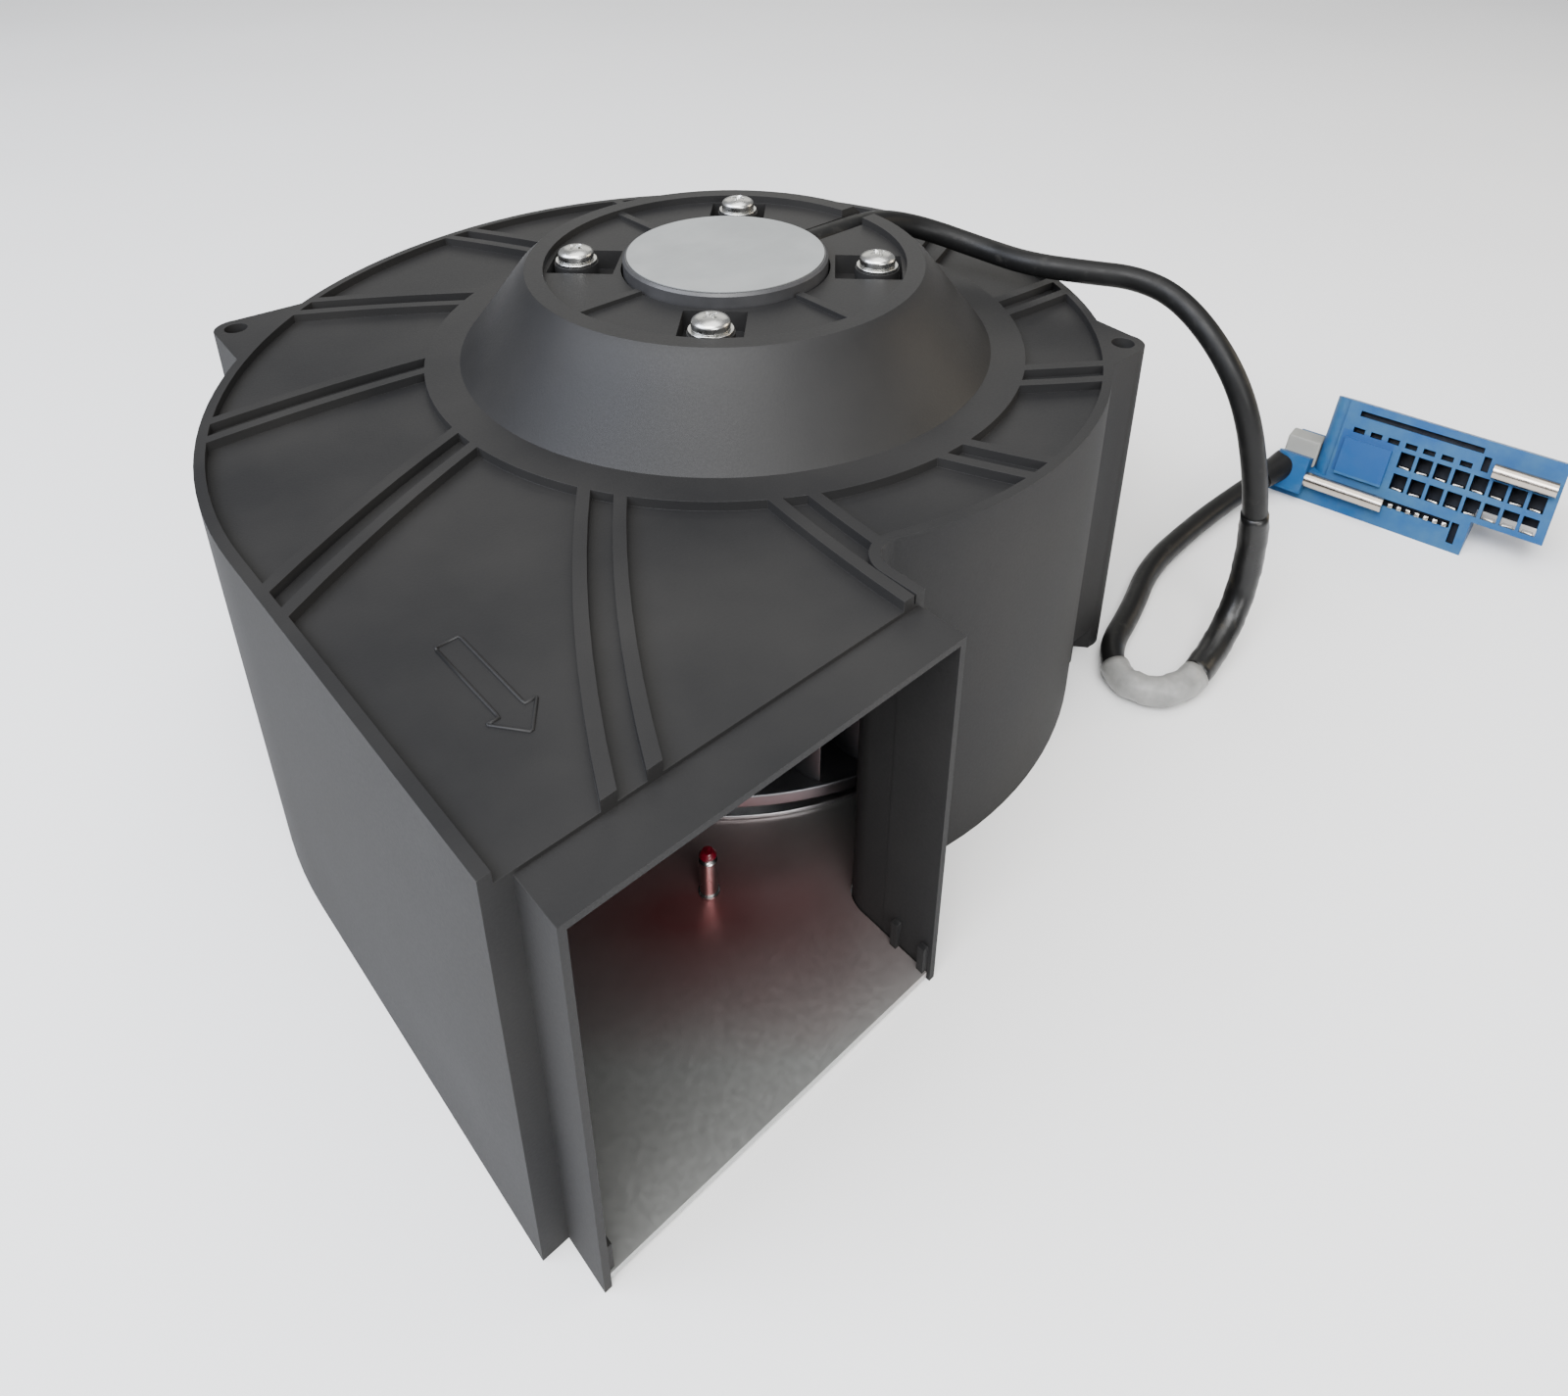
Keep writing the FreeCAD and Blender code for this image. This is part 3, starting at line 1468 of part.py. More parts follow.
def connector_block():
    """Blue housing: the socket block, the rail that it stands on, the end lug, the boss and the key."""
    body = new_body("connector_block")
    face, low, rail = size("plug_face"), size("plug_lift"), size("rail_face")
    draft, lap = size("plug_draft"), size("web_lap")
    start, lug_start = size("plug_start"), size("plug_start") - size("lug_length")
    back_y, back_z = face_point(face, size("plug_depth"))
    section_pad(body, "plug", start, size("plug_end"), [
        face_point(low, 0), face_point(face, 0), (back_y, back_z), (back_y + draft, low * lean_z)])
    section_pad(body, "rail", size("rail_start"), size("rail_end"), [
        (0, 0), face_point(rail, 0), (back_y + draft, rail * lean_z), (back_y + draft, 0)])
    section_pad(body, "web", start, size("rail_end"), [
        face_point(rail - lap, 0), face_point(low + lap, 0), (back_y + draft / 2, (low + lap) * lean_z),
        (back_y + draft / 2, (rail - lap) * lean_z)])

    corner, near = size("lug_round"), size("lug_setback")
    far, lug_x = size("plug_depth") - near, lug_start + corner
    lug = plan_sketch(body, "lug_outline", rail)
    draw_loop(lug, (start + lap, near), [
        (start + lap, far),
        (lug_x, far),
        (lug_start, far - corner, lug_x, far - corner, 1),
        (lug_start, near + corner),
        (lug_x, near, lug_x, near + corner, 1),
        (start + lap, near),
    ])
    pad(body, lug, face - rail, "lug")
    corner, rise, deep = size("boss_round"), size("boss_rise"), size("boss_depth")
    boss_start, boss_x = size("rail_start"), size("rail_start") + corner
    boss = plan_sketch(body, "boss_outline", size("boss_low"))
    draw_loop(boss, (size("boss_end"), -rise), [
        (size("boss_end"), deep),
        (boss_start, deep),
        (boss_start, -rise + corner),
        (boss_x, -rise, boss_x, -rise + corner, 1),
        (size("boss_end"), -rise),
    ])
    pad(body, boss, size("boss_top") - size("boss_low"), "boss")
    key = face_sketch(body, "key_outline")
    draw_rectangle(key, size("key_start"), size("key_low"), size("key_end"), size("key_high"))
    pad(body, key, size("key_rise"), "key")

    sockets = face_sketch(body, "socket_outline")
    socket_pair(sockets, size("socket_start"), size("socket_width") / 2)
    cut = pocket(body, sockets, size("socket_depth"), "socket_column")
    row_pattern(body, cut, sockets, size("socket_pitch"), size("socket_columns"), "sockets")
    slots = face_sketch(body, "slot_row_outline")
    first, level = size("slot_start"), size("slot_row")
    half, tall = size("slot_width") / 2, size("slot_length") / 2
    draw_rectangle(slots, first - half, level - tall, first + half, level + tall)
    cut = pocket(body, slots, size("groove_depth"), "small_slot")
    row_pattern(body, cut, slots, size("socket_pitch"), size("slot_columns"), "small_slots")

    gap, width = size("groove_gap"), size("groove_width")
    grooves = face_sketch(body, "groove_outline")
    draw_rectangle(grooves, size("groove_start"), size("groove_low"), size("groove_end"), size("groove_high"))
    draw_rectangle(grooves, size("groove_end") + gap, level - gap, size("groove_end") + gap + width,
                   size("groove_low") - gap)
    slot_end = size("rail_end") - gap - width
    draw_rectangle(grooves, size("boss_end") + gap, size("contact_slot_low"), slot_end - width - gap,
                   size("contact_slot_high"))
    draw_rectangle(grooves, slot_end - width, size("contact_slot_foot"), slot_end, size("contact_slot_high"))
    pocket(body, grooves, size("groove_depth"), "grooves")
    place_on_floor(body)
    return body


def connector_contacts():
    """Spring contacts on the floor of each socket, and a row of spring tips in the slot of the rail."""
    body = new_body("connector_contacts")
    sockets = face_sketch(body, "contact_outline", -size("socket_depth"))
    half = size("socket_width") / 2 - size("contact_margin")
    socket_pair(sockets, size("socket_start"), half, size("contact_thickness"))
    strip = pad(body, sockets, size("socket_depth") - size("contact_setback"), "contact_pair")
    row_pattern(body, strip, sockets, size("socket_pitch"), size("socket_columns"), "contact_pairs")

    low, half = size("contact_slot_low"), size("tooth_size") / 2
    tips = face_sketch(body, "tip_outline", -size("groove_depth"))
    start = size("tooth_start")
    draw_rectangle(tips, start - half, low, start + half, low + size("tooth_size"))
    tip = pad(body, tips, size("groove_depth") + size("contact_thickness"), "tip")
    row_pattern(body, tip, tips, size("tooth_pitch"), size("tooth_count"), "tips")
    place_on_floor(body)
    return body


def guide_pins():
    """Two steel pins along the face, one low at the boss and one high at the far end."""
    body = new_body("guide_pins")
    radius = size("pin_diameter") / 2
    for name, level, start, end in (
            ("low", size("pin_row_one"), size("boss_end"), size("pin_one_end")),
            ("high", size("pin_row_two"), size("pin_two_start"), size("plug_end") - SPARE)):
        sketch = new_sketch(body, name + "_pin_outline", "YZ_Plane", start)
        draw_circle(sketch, radius, *face_point(level, -(radius + size("pin_gap"))))
        pad(body, sketch, end - start, name + "_pin")
    place_on_floor(body)
    return body


scroll_housing()
base_plate()
outlet_stud()
stud_lacquer()
inlet_ring()
rivets("inlet_rivets", size("inlet_rivets"), inlet_rivet_circle, plate_low, plate_top + size("inlet_sheet"),
       size("inlet_rivet_turn"))
motor_flange()
bearings()
preload_spring()
stator_core()
stator_coils()
drive_board()
board_posts()
board_parts()
terminal_cap()
motor_label()
motor_screws()
motor_washers()
rotor_can()
rotor_magnet()
rotor_shaft()
shaft_clip()
wheel_back_plate()
wheel_end_ring()
wheel_blades()
rivets("wheel_rivets", size("rivet_count"), can_rivet_circle, wheel_top,
       wheel_top + size("wheel_sheet") + size("can_wall"))
strain_relief()
cable()
connector_body(lead_boot())
cable_clamp()
connector_contacts()
guide_pins()

NODES = [
    "scroll_housing", "base_plate", "outlet_stud", "stud_lacquer", "inlet_ring", "inlet_rivets",
    "motor_flange", "lower_bearing_outer", "upper_bearing_outer", "preload_spring", "stator_core",
    "stator_coils", "drive_board", "board_posts", "board_parts", "terminal_cap", "motor_label",
    "motor_screws", "motor_washers", "rotor_can", "rotor_magnet", "rotor_shaft", "shaft_clip",
    "lower_bearing_inner", "upper_bearing_inner", "wheel_back_plate", "wheel_end_ring",
    "wheel_blades", "wheel_rivets", "strain_relief", "motor_cable", "cable_sleeve", "marker_wrap",
    "connector_lead", "lead_boot", "connector_body", "cable_clamp", "connector_contacts", "guide_pins",
]

doc.recompute()
for item in doc.Objects:
    if "Invalid" in item.State or "Error" in item.State:
        raise RuntimeError("%s is %s" % (item.Label, item.State))
os.makedirs("parts", exist_ok=True)
for node in NODES:
    shape = doc.getObjectsByLabel(node)[0].Shape
    if shape.isNull() or not shape.isValid():
        raise RuntimeError("%s has no valid shape" % node)
    shape.exportStep("parts/%s.step" % node)
    box = shape.BoundBox
    print("%-20s solids %2d volume %9.1f box %6.1f %6.1f %6.1f to %6.1f %6.1f %6.1f" % (
        node, len(shape.Solids), shape.Volume, box.XMin, box.YMin, box.ZMin, box.XMax, box.YMax, box.ZMax))
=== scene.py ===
"""Looks of the dc blower fan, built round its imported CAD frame. Lengths are in metres."""

import json
import math

import bmesh
import bpy
from mathutils import Matrix, Vector


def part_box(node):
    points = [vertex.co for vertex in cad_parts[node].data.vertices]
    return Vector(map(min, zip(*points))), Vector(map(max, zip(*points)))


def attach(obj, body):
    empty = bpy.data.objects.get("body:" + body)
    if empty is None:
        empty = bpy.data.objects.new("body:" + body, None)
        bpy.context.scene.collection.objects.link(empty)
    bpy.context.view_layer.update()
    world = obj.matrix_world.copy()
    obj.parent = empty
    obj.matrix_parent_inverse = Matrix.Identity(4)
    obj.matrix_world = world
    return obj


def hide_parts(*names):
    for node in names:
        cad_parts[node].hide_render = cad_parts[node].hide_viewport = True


MM = 0.001
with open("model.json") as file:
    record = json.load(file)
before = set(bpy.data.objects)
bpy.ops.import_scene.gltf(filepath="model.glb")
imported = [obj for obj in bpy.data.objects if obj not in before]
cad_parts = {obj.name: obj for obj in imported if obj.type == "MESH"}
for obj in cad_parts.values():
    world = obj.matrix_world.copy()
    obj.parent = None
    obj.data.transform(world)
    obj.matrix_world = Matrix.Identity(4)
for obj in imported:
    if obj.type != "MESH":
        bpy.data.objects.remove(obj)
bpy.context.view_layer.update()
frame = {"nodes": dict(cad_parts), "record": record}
nodes = frame["nodes"]


# Sizes of the CAD frame that the scene's own pieces follow

SCREW_CIRCLE = 36.4 * MM
SCREW_ANGLES = (45, 135, 225, 315)
PANEL_TOP = 89.8 * MM
CABLE_DIAMETER = 6.4 * MM

# Connector: the lower left corner of its face, on the floor, and the face's own directions

PLUG_ORIGIN = Vector((178.3, -78.7, 0)) * MM
PLUG_HEADING = math.radians(-81.7)
PLUG_LEAN = math.radians(25)
PLUG_ALONG = Vector((math.cos(PLUG_HEADING), math.sin(PLUG_HEADING), 0))
PLUG_BACK = Vector((-math.sin(PLUG_HEADING), math.cos(PLUG_HEADING), 0))
PLUG_UP = PLUG_BACK * math.sin(PLUG_LEAN) + Vector((0, 0, math.cos(PLUG_LEAN)))
PLUG_DEPTH = PLUG_BACK * math.cos(PLUG_LEAN) - Vector((0, 0, math.sin(PLUG_LEAN)))

# Spans along, up and into the face: the hollows behind it, where shade is painted, and the square
# key on it

PLUG_HOLLOWS_MM = (((9, 66), (12.5, 34.4), (0.1, 10)), ((1.5, 46.6), (2.4, 9.4), (0.1, 5)))
PLUG_KEY_MM = ((7, 22.5), (13, 27))
HOLLOW_SHADE_FADE = 0.6 * MM  # depth at which the painted shade in a hollow is full


# Shader nodes

MATERIALS = {}  # by name, which is the record's slot for every piece of the object
FIRST_COLOR, SECOND_COLOR, MIXED_COLOR = 6, 7, 2  # the colour sockets of a mix node
NOISE_SPAN = (0.3, 0.7)  # nearly all values of a noise lie in it
PLAIN_SPECULAR = 0.5
UPRIGHT_SPAN = (0.1, 0.5)  # how far a face's normal rises: first still upright, then not at all
STAINED = 0.86  # share of a metal's colour that is left in its stains


class Shader:
    """Small helper round one new material's node tree."""

    def __init__(self, name, color, roughness, metallic=0.0, specular=PLAIN_SPECULAR):
        material = bpy.data.materials.new(name)
        material.use_nodes = True
        MATERIALS[name] = material
        self.tree = material.node_tree
        self.surface = self.tree.nodes["Principled BSDF"].inputs
        self.surface["Base Color"].default_value = (*color, 1)
        self.surface["Roughness"].default_value = roughness
        self.surface["Metallic"].default_value = metallic
        self.surface["Specular IOR Level"].default_value = specular
        self.coordinates = self.add("ShaderNodeTexCoord").outputs
        self.place = self.coordinates["Object"]

    def add(self, kind, **values):
        node = self.tree.nodes.new(kind)
        for name, value in values.items():
            setattr(node, name, value)
        return node

    def link(self, source, target):
        self.tree.links.new(source, target)

    # Patterns

    def stretched(self, scale):
        """The place, scaled apart along its axes."""
        mapping = self.add("ShaderNodeMapping")
        mapping.inputs["Scale"].default_value = scale
        self.link(self.place, mapping.inputs["Vector"])
        return mapping.outputs["Vector"]

    def noise(self, size, detail=3.0, rough=0.5, place=None):
        """Noise whose patches are about size metres across."""
        node = self.add("ShaderNodeTexNoise")
        node.inputs["Scale"].default_value = 1.0 / size
        node.inputs["Detail"].default_value = detail
        node.inputs["Roughness"].default_value = rough
        self.link(place or self.place, node.inputs["Vector"])
        return node.outputs["Fac"]

    def cells(self, size):
        """Distance from the middles of cells about size metres across."""
        node = self.add("ShaderNodeTexVoronoi")
        node.inputs["Scale"].default_value = 1.0 / size
        self.link(self.place, node.inputs["Vector"])
        return node.outputs["Distance"]

    def wave(self, kind, scale, distortion=0.0):
        """RINGS round the vertical axis, or level BANDS."""
        node = self.add("ShaderNodeTexWave", wave_type=kind)
        node.rings_direction = node.bands_direction = "Z"
        node.inputs["Scale"].default_value = scale
        node.inputs["Distortion"].default_value = distortion
        self.link(self.place, node.inputs["Vector"])
        return node.outputs["Fac"]

    # Sums

    def calc(self, operation, *values):
        """Math node on its values, each a number or an output."""
        node = self.add("ShaderNodeMath", operation=operation)
        for socket, value in zip(node.inputs, values):
            if isinstance(value, (int, float)):
                socket.default_value = value
            else:
                self.link(value, socket)
        return node.outputs[0]

    def plus(self, first, second):
        return self.calc("ADD", first, second)

    def times(self, first, second):
        return self.calc("MULTIPLY", first, second)

    def spread(self, value, low, high, out_low=0.0, out_high=1.0):
        """From out_low to out_high while the value goes from low to high."""
        node = self.add("ShaderNodeMapRange")
        node.inputs["From Min"].default_value = low
        node.inputs["From Max"].default_value = high
        node.inputs["To Min"].default_value = out_low
        node.inputs["To Max"].default_value = out_high
        self.link(value, node.inputs["Value"])
        return node.outputs["Result"]

    def mix(self, share, first, second):
        """Colour between first and second, each a colour or an output."""
        node = self.add("ShaderNodeMix", data_type="RGBA")
        self.link(share, node.inputs["Factor"])
        for index, value in ((FIRST_COLOR, first), (SECOND_COLOR, second)):
            if isinstance(value, tuple):
                node.inputs[index].default_value = (*value, 1)
            else:
                self.link(value, node.inputs[index])
        return node.outputs[MIXED_COLOR]

    # Places

    def along(self, origin, direction):
        """Distance from the origin in the given direction, in metres."""
        offset = self.add("ShaderNodeVectorMath", operation="SUBTRACT")
        self.link(self.place, offset.inputs[0])
        offset.inputs[1].default_value = origin
        dot = self.add("ShaderNodeVectorMath", operation="DOT_PRODUCT")
        self.link(offset.outputs["Vector"], dot.inputs[0])
        dot.inputs[1].default_value = direction
        return dot.outputs["Value"]

    def on_plug(self):
        """Distances along, up and into the connector's face."""
        return [self.along(PLUG_ORIGIN, way) for way in (PLUG_ALONG, PLUG_UP, PLUG_DEPTH)]

    def inside(self, distances, spans_mm):
        """1 where each distance lies in its span, else 0."""
        share = 1.0
        for distance, (low, high) in zip(distances, spans_mm):
            above = self.calc("GREATER_THAN", distance, low * MM)
            below = self.calc("LESS_THAN", distance, high * MM)
            share = self.times(self.times(above, below), share)
        return share

    def painted_hollow_shade(self, distances):
        """Painted shade in the connector's hollows: 0 at its face and outside, up to 1 inside them.
        """
        total = 0.0
        for spans in PLUG_HOLLOWS_MM:
            total = self.plus(self.inside(distances, spans), total)
        depth = distances[-1]
        return self.calc("MINIMUM", self.times(total, self.spread(depth, 0, HOLLOW_SHADE_FADE)), 1.0)

    def upright(self):
        """1 on upright faces, 0 on faces that lean or lie flat."""
        normal = self.add("ShaderNodeSeparateXYZ")
        self.link(self.coordinates["Normal"], normal.inputs["Vector"])
        return self.spread(self.calc("ABSOLUTE", normal.outputs["Z"]), *UPRIGHT_SPAN, 1.0, 0.0)

    # Surface

    def color(self, output):
        self.link(output, self.surface["Base Color"])

    def roughness(self, output):
        self.link(output, self.surface["Roughness"])

    def vary_color(self, pattern, span, first, second):
        """Colour that goes from first to second over a span of the pattern."""
        self.color(self.mix(self.spread(pattern, *span), first, second))

    def vary_roughness(self, pattern, low, high):
        """Roughness that goes from low to high over nearly all of a noise."""
        self.roughness(self.spread(pattern, *NOISE_SPAN, low, high))

    def bump(self, pattern, height, strength):
        """Bump up to height metres high, laid over any bump set before it."""
        node = self.add("ShaderNodeBump")
        node.inputs["Distance"].default_value = height
        node.inputs["Strength"].default_value = strength
        self.link(pattern, node.inputs["Height"])
        normal = self.surface["Normal"]
        if normal.is_linked:
            self.link(normal.links[0].from_socket, node.inputs["Normal"])
        self.link(node.outputs["Normal"], normal)


def grey(value):
    return (value, value, value)


def darker(color, share):
    return tuple(channel * share for channel in color)


# Materials

def housing_plastic():
    """Black nylon with a fine moulded grain, coarser on the upright walls."""
    s = Shader("housing_plastic", grey(0.012), 0.5, specular=0.27)
    patches = s.noise(45 * MM, 4)
    grain = s.noise(0.55 * MM, 2)
    s.vary_color(patches, (0.35, 0.7), (0.010, 0.010, 0.0105), (0.018, 0.0175, 0.017))
    blend = s.plus(s.times(patches, 0.65), s.times(grain, 0.35))
    coarser = s.times(s.upright(), 0.24)
    s.roughness(s.plus(s.spread(blend, *NOISE_SPAN, 0.44, 0.57), coarser))
    s.bump(grain, 0.04 * MM, 0.5)
    s.bump(s.noise(18 * MM, 2), 0.16 * MM, 0.2)


def sheet_steel(name, color, roughness, metallic=1.0):
    """Zinc-plated sheet with small stains and a faint unevenness."""
    s = Shader(name, color, roughness, metallic)
    s.vary_color(s.noise(26 * MM, 5, 0.55), (0.35, 0.7), darker(color, STAINED), color)
    s.vary_roughness(s.noise(1.4 * MM, 4, 0.6), roughness - 0.03, roughness + 0.05)
    s.bump(s.noise(14 * MM, 2), 0.02 * MM, 0.25)
    return s


# Painted red reflection on the base plate: its middle from the lower corner of the stud, its long
# and short directions with how much a distance counts in each, and how far it reaches

RED_REFLECTION_SHIFT = Vector((-2, 2, 0)) * MM
RED_REFLECTION_WAYS = (((0.75, -0.66, 0), 0.5), ((0.66, 0.75, 0), 1.0))
RED_REFLECTION_FULL, RED_REFLECTION_END, RED_REFLECTION_RAGGED = 8 * MM, 38 * MM, 10 * MM
RED_REFLECTION_COLOR, RED_REFLECTION_STRENGTH = (0.26, 0.016, 0.02), 0.8


def floor_steel():
    """Base plate, with a soft painted red reflection round the stud."""
    s = sheet_steel("plate_steel", (0.50, 0.51, 0.50), 0.36, 0.85)
    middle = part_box("outlet_stud")[0] + RED_REFLECTION_SHIFT
    squares = [s.calc("POWER", s.times(s.along(middle, way), weight), 2.0)
               for way, weight in RED_REFLECTION_WAYS]
    ragged = s.plus(s.calc("SQRT", s.plus(*squares)), s.times(s.noise(22 * MM, 3), RED_REFLECTION_RAGGED))
    # painted reflection: share of red mixed into the steel's colour, full round the stud and fading
    # outwards
    reflection_share = s.times(s.spread(ragged, RED_REFLECTION_FULL, RED_REFLECTION_END, 1.0, 0.0), RED_REFLECTION_STRENGTH)
    steel_color = s.surface["Base Color"].links[0].from_socket
    s.color(s.mix(reflection_share, steel_color, RED_REFLECTION_COLOR))


def galvanised(name, color, roughness):
    """Zinc-dipped sheet, with a faint spangle."""
    s = sheet_steel(name, color, roughness)
    s.bump(s.cells(5 * MM), 0.02 * MM, 0.2)


def bright_metal(name, color, roughness):
    """Plated steel with fine smears."""
    s = Shader(name, color, roughness, metallic=1.0)
    s.vary_roughness(s.noise(2.5 * MM, 2), roughness * 0.9, roughness * 1.2)
    s.vary_color(s.noise(5 * MM, 3), (0.35, 0.65), darker(color, STAINED), color)


def turned_metal(name, color, roughness):
    """Machined or cast metal with rings from the lathe round the wheel's axis."""
    s = Shader(name, color, roughness, metallic=1.0)
    s.bump(s.wave("RINGS", 260, 0.6), 0.015 * MM, 0.25)
    s.vary_roughness(s.noise(6 * MM, 4), roughness - 0.07, roughness + 0.12)


def stacked_steel():
    """Stator core, with the lines of its stacked sheets."""
    s = Shader("core_steel", (0.24, 0.24, 0.26), 0.42, metallic=1.0)
    s.bump(s.wave("BANDS", 320), 0.1 * MM, 0.6)
    s.vary_roughness(s.noise(4 * MM), 0.34, 0.55)


def copper_winding():
    """Enamelled wire, wound turn by turn."""
    s = Shader("winding_copper", (0.65, 0.24, 0.10), 0.3, metallic=1.0)
    wires = s.wave("BANDS", 400, 1.2)
    s.bump(wires, 0.25 * MM, 0.8)
    s.color(s.mix(wires, (0.36, 0.11, 0.045), (0.70, 0.28, 0.12)))


def moulded(name, color, roughness):
    """Plain moulded plastic: fine grain and a slow change of tone."""
    s = Shader(name, color, roughness)
    s.vary_color(s.noise(9 * MM, 4), (0.35, 0.68), darker(color, 0.82), color)
    s.vary_roughness(s.noise(2.2 * MM, 3), roughness - 0.06, roughness + 0.08)
    s.bump(s.noise(0.4 * MM, 2), 0.03 * MM, 0.5)


def cable_jacket():
    """Black jacket with dull scuffs along its length."""
    s = Shader("cable_rubber", grey(0.006), 0.4, specular=0.2)
    scuffs = s.noise(5 * MM, 5, 0.65)
    s.vary_color(scuffs, (0.6, 0.8), grey(0.006), (0.024, 0.023, 0.021))
    s.vary_roughness(scuffs, 0.34, 0.52)
    s.bump(s.noise(0.8 * MM, 3), 0.06 * MM, 0.35)


def shrink_sleeve():
    """Shrunk sleeve: glossier than the cable, with rubbed patches."""
    s = Shader("sleeve_rubber", (0.006, 0.006, 0.005), 0.3, specular=0.4)
    rub = s.noise(8 * MM, 5, 0.7)
    s.vary_color(rub, (0.58, 0.76), grey(0.005), (0.035, 0.030, 0.020))
    s.vary_roughness(rub, 0.24, 0.40)
    s.bump(s.noise(2.4 * MM, 3), 0.15 * MM, 0.35)


def marker_tape():
    """Pale tape, creased, and darker in the low parts of its creases."""
    s = Shader("wrap_white", (0.23, 0.23, 0.22), 0.42)
    crease = s.noise(4.5 * MM, 3, 0.55)
    s.vary_color(crease, NOISE_SPAN, (0.17, 0.17, 0.165), (0.26, 0.26, 0.25))
    s.bump(crease, 0.3 * MM, 0.4)


def film_label():
    """Bare silver film with a faint brushed sheen."""
    s = Shader("label_silver", (0.26, 0.27, 0.27), 0.36, 0.25)
    s.vary_color(s.noise(12 * MM, 4), (0.35, 0.7), (0.24, 0.25, 0.25), (0.28, 0.29, 0.29))
    s.vary_roughness(s.noise(1.2 * MM, 3, 0.6, s.stretched((0.3, 6, 1))), 0.3, 0.44)


def lacquer():
    """Dried drop of red locking lacquer."""
    s = Shader("red_lacquer", (0.12, 0.003, 0.010), 0.22)
    s.surface["Coat Weight"].default_value = 0.3
    s.vary_color(s.noise(1.5 * MM, 3), (0.35, 0.65), (0.07, 0.002, 0.006), (0.16, 0.004, 0.014))
    s.bump(s.noise(1.4 * MM, 3), 0.2 * MM, 0.6)


def connector_plastic():
    """Blue moulding, deeper in tone on its key, with painted shade in the hollows behind its face.
    """
    s = Shader("connector_blue", (0.012, 0.08, 0.21), 0.42, specular=0.24)
    patches = s.spread(s.noise(14 * MM, 5, 0.6), 0.38, 0.66)
    tone = s.mix(patches, (0.008, 0.062, 0.18), (0.030, 0.10, 0.19))
    distances = s.on_plug()
    key = s.times(s.inside(distances, PLUG_KEY_MM), 0.8)
    tone = s.mix(key, tone, (0.005, 0.050, 0.18))
    # painted shade: almost black blue inside the hollows
    s.color(s.mix(s.painted_hollow_shade(distances), tone, (0.001, 0.005, 0.016)))
    s.vary_roughness(s.noise(2.2 * MM, 3), 0.36, 0.5)
    s.bump(s.noise(0.5 * MM, 2), 0.02 * MM, 0.4)


def spring_contacts():
    """Tinned contacts, bright at their tips and darkened by painted shade inside the hollows."""
    s = Shader("contact_metal", (0.74, 0.71, 0.64), 0.24, metallic=1.0)
    patches = s.spread(s.noise(1.2 * MM, 3), 0.35, 0.65)
    tone = s.mix(patches, (0.55, 0.52, 0.46), (0.78, 0.75, 0.68))
    # painted shade: the contacts turn almost black inside the hollows
    s.color(s.mix(s.painted_hollow_shade(s.on_plug()), tone, (0.004, 0.006, 0.012)))


def solder_mask():
    """Green board with raised tracks."""
    s = Shader("board_green", (0.02, 0.14, 0.06), 0.32)
    tracks = s.cells(3.2 * MM)
    s.vary_color(tracks, (0.1, 0.4), (0.03, 0.2, 0.09), (0.015, 0.11, 0.05))
    s.bump(tracks, 0.06 * MM, 0.5)


def pale_floor():
    s = Shader("floor_pale", grey(0.88), 0.6)
    s.vary_roughness(s.noise(0.2), 0.55, 0.7)


def make_materials():
    housing_plastic()
    floor_steel()
    bright_metal("stud_steel", (0.50, 0.50, 0.49), 0.24)
    lacquer()
    galvanised("ring_steel", (0.46, 0.46, 0.47), 0.34)
    bright_metal("rivet_steel", (0.52, 0.52, 0.52), 0.3)
    turned_metal("cast_aluminium", (0.58, 0.58, 0.60), 0.36)
    turned_metal("bearing_steel", (0.62, 0.62, 0.63), 0.2)
    turned_metal("spring_steel", (0.36, 0.36, 0.38), 0.28)
    stacked_steel()
    copper_winding()
    solder_mask()
    moulded("chip_black", (0.02, 0.02, 0.022), 0.4)
    moulded("cap_plastic", (0.04, 0.04, 0.042), 0.4)
    film_label()
    bright_metal("screw_zinc", (0.70, 0.70, 0.68), 0.26)
    galvanised("can_steel", (0.36, 0.36, 0.37), 0.34)
    moulded("magnet_ferrite", (0.05, 0.045, 0.045), 0.55)
    turned_metal("shaft_steel", (0.66, 0.66, 0.66), 0.16)
    # painted shade: wheel_steel is darker than galvanised sheet is, for the shade deep inside the
    # housing
    galvanised("wheel_steel", (0.20, 0.20, 0.21), 0.42)
    cable_jacket()
    shrink_sleeve()
    marker_tape()
    connector_plastic()
    moulded("clamp_grey", (0.24, 0.24, 0.22), 0.5)
    spring_contacts()
    bright_metal("pin_steel", (0.50, 0.45, 0.39), 0.2)
    pale_floor()


# CAD nodes

EDGE_RADII_MM = {
    "scroll_housing": 0.45,
    "connector_body": 0.35,
    "guide_pins": 1.2,
    "terminal_cap": 0.3,
    "wheel_end_ring": 0.4,
    "inlet_ring": 0.3,
    "motor_label": 0.05,
    "cable_clamp": 0.6,
    "outlet_stud": 0.1,
    "lead_boot": 0.5,
}
PLAIN_EDGE_MM = 0.12
EDGE_STEPS = 2
SHARP = math.radians(34)  # a steeper turn between two faces is an edge
FLAT_FACE_WEIGHT = 60
WELD_REACH = 0.002 * MM


def round_edges(piece, radius):
    """Small radius on sharp edges, and shading that keeps flat faces flat."""
    bevel = piece.modifiers.new("edges", "BEVEL")
    bevel.width = radius
    bevel.segments = EDGE_STEPS
    bevel.limit_method = "ANGLE"
    bevel.angle_limit = SHARP
    bevel.use_clamp_overlap = True
    flat = piece.modifiers.new("flat_faces", "WEIGHTED_NORMAL")
    flat.weight = FLAT_FACE_WEIGHT
    flat.keep_sharp = True


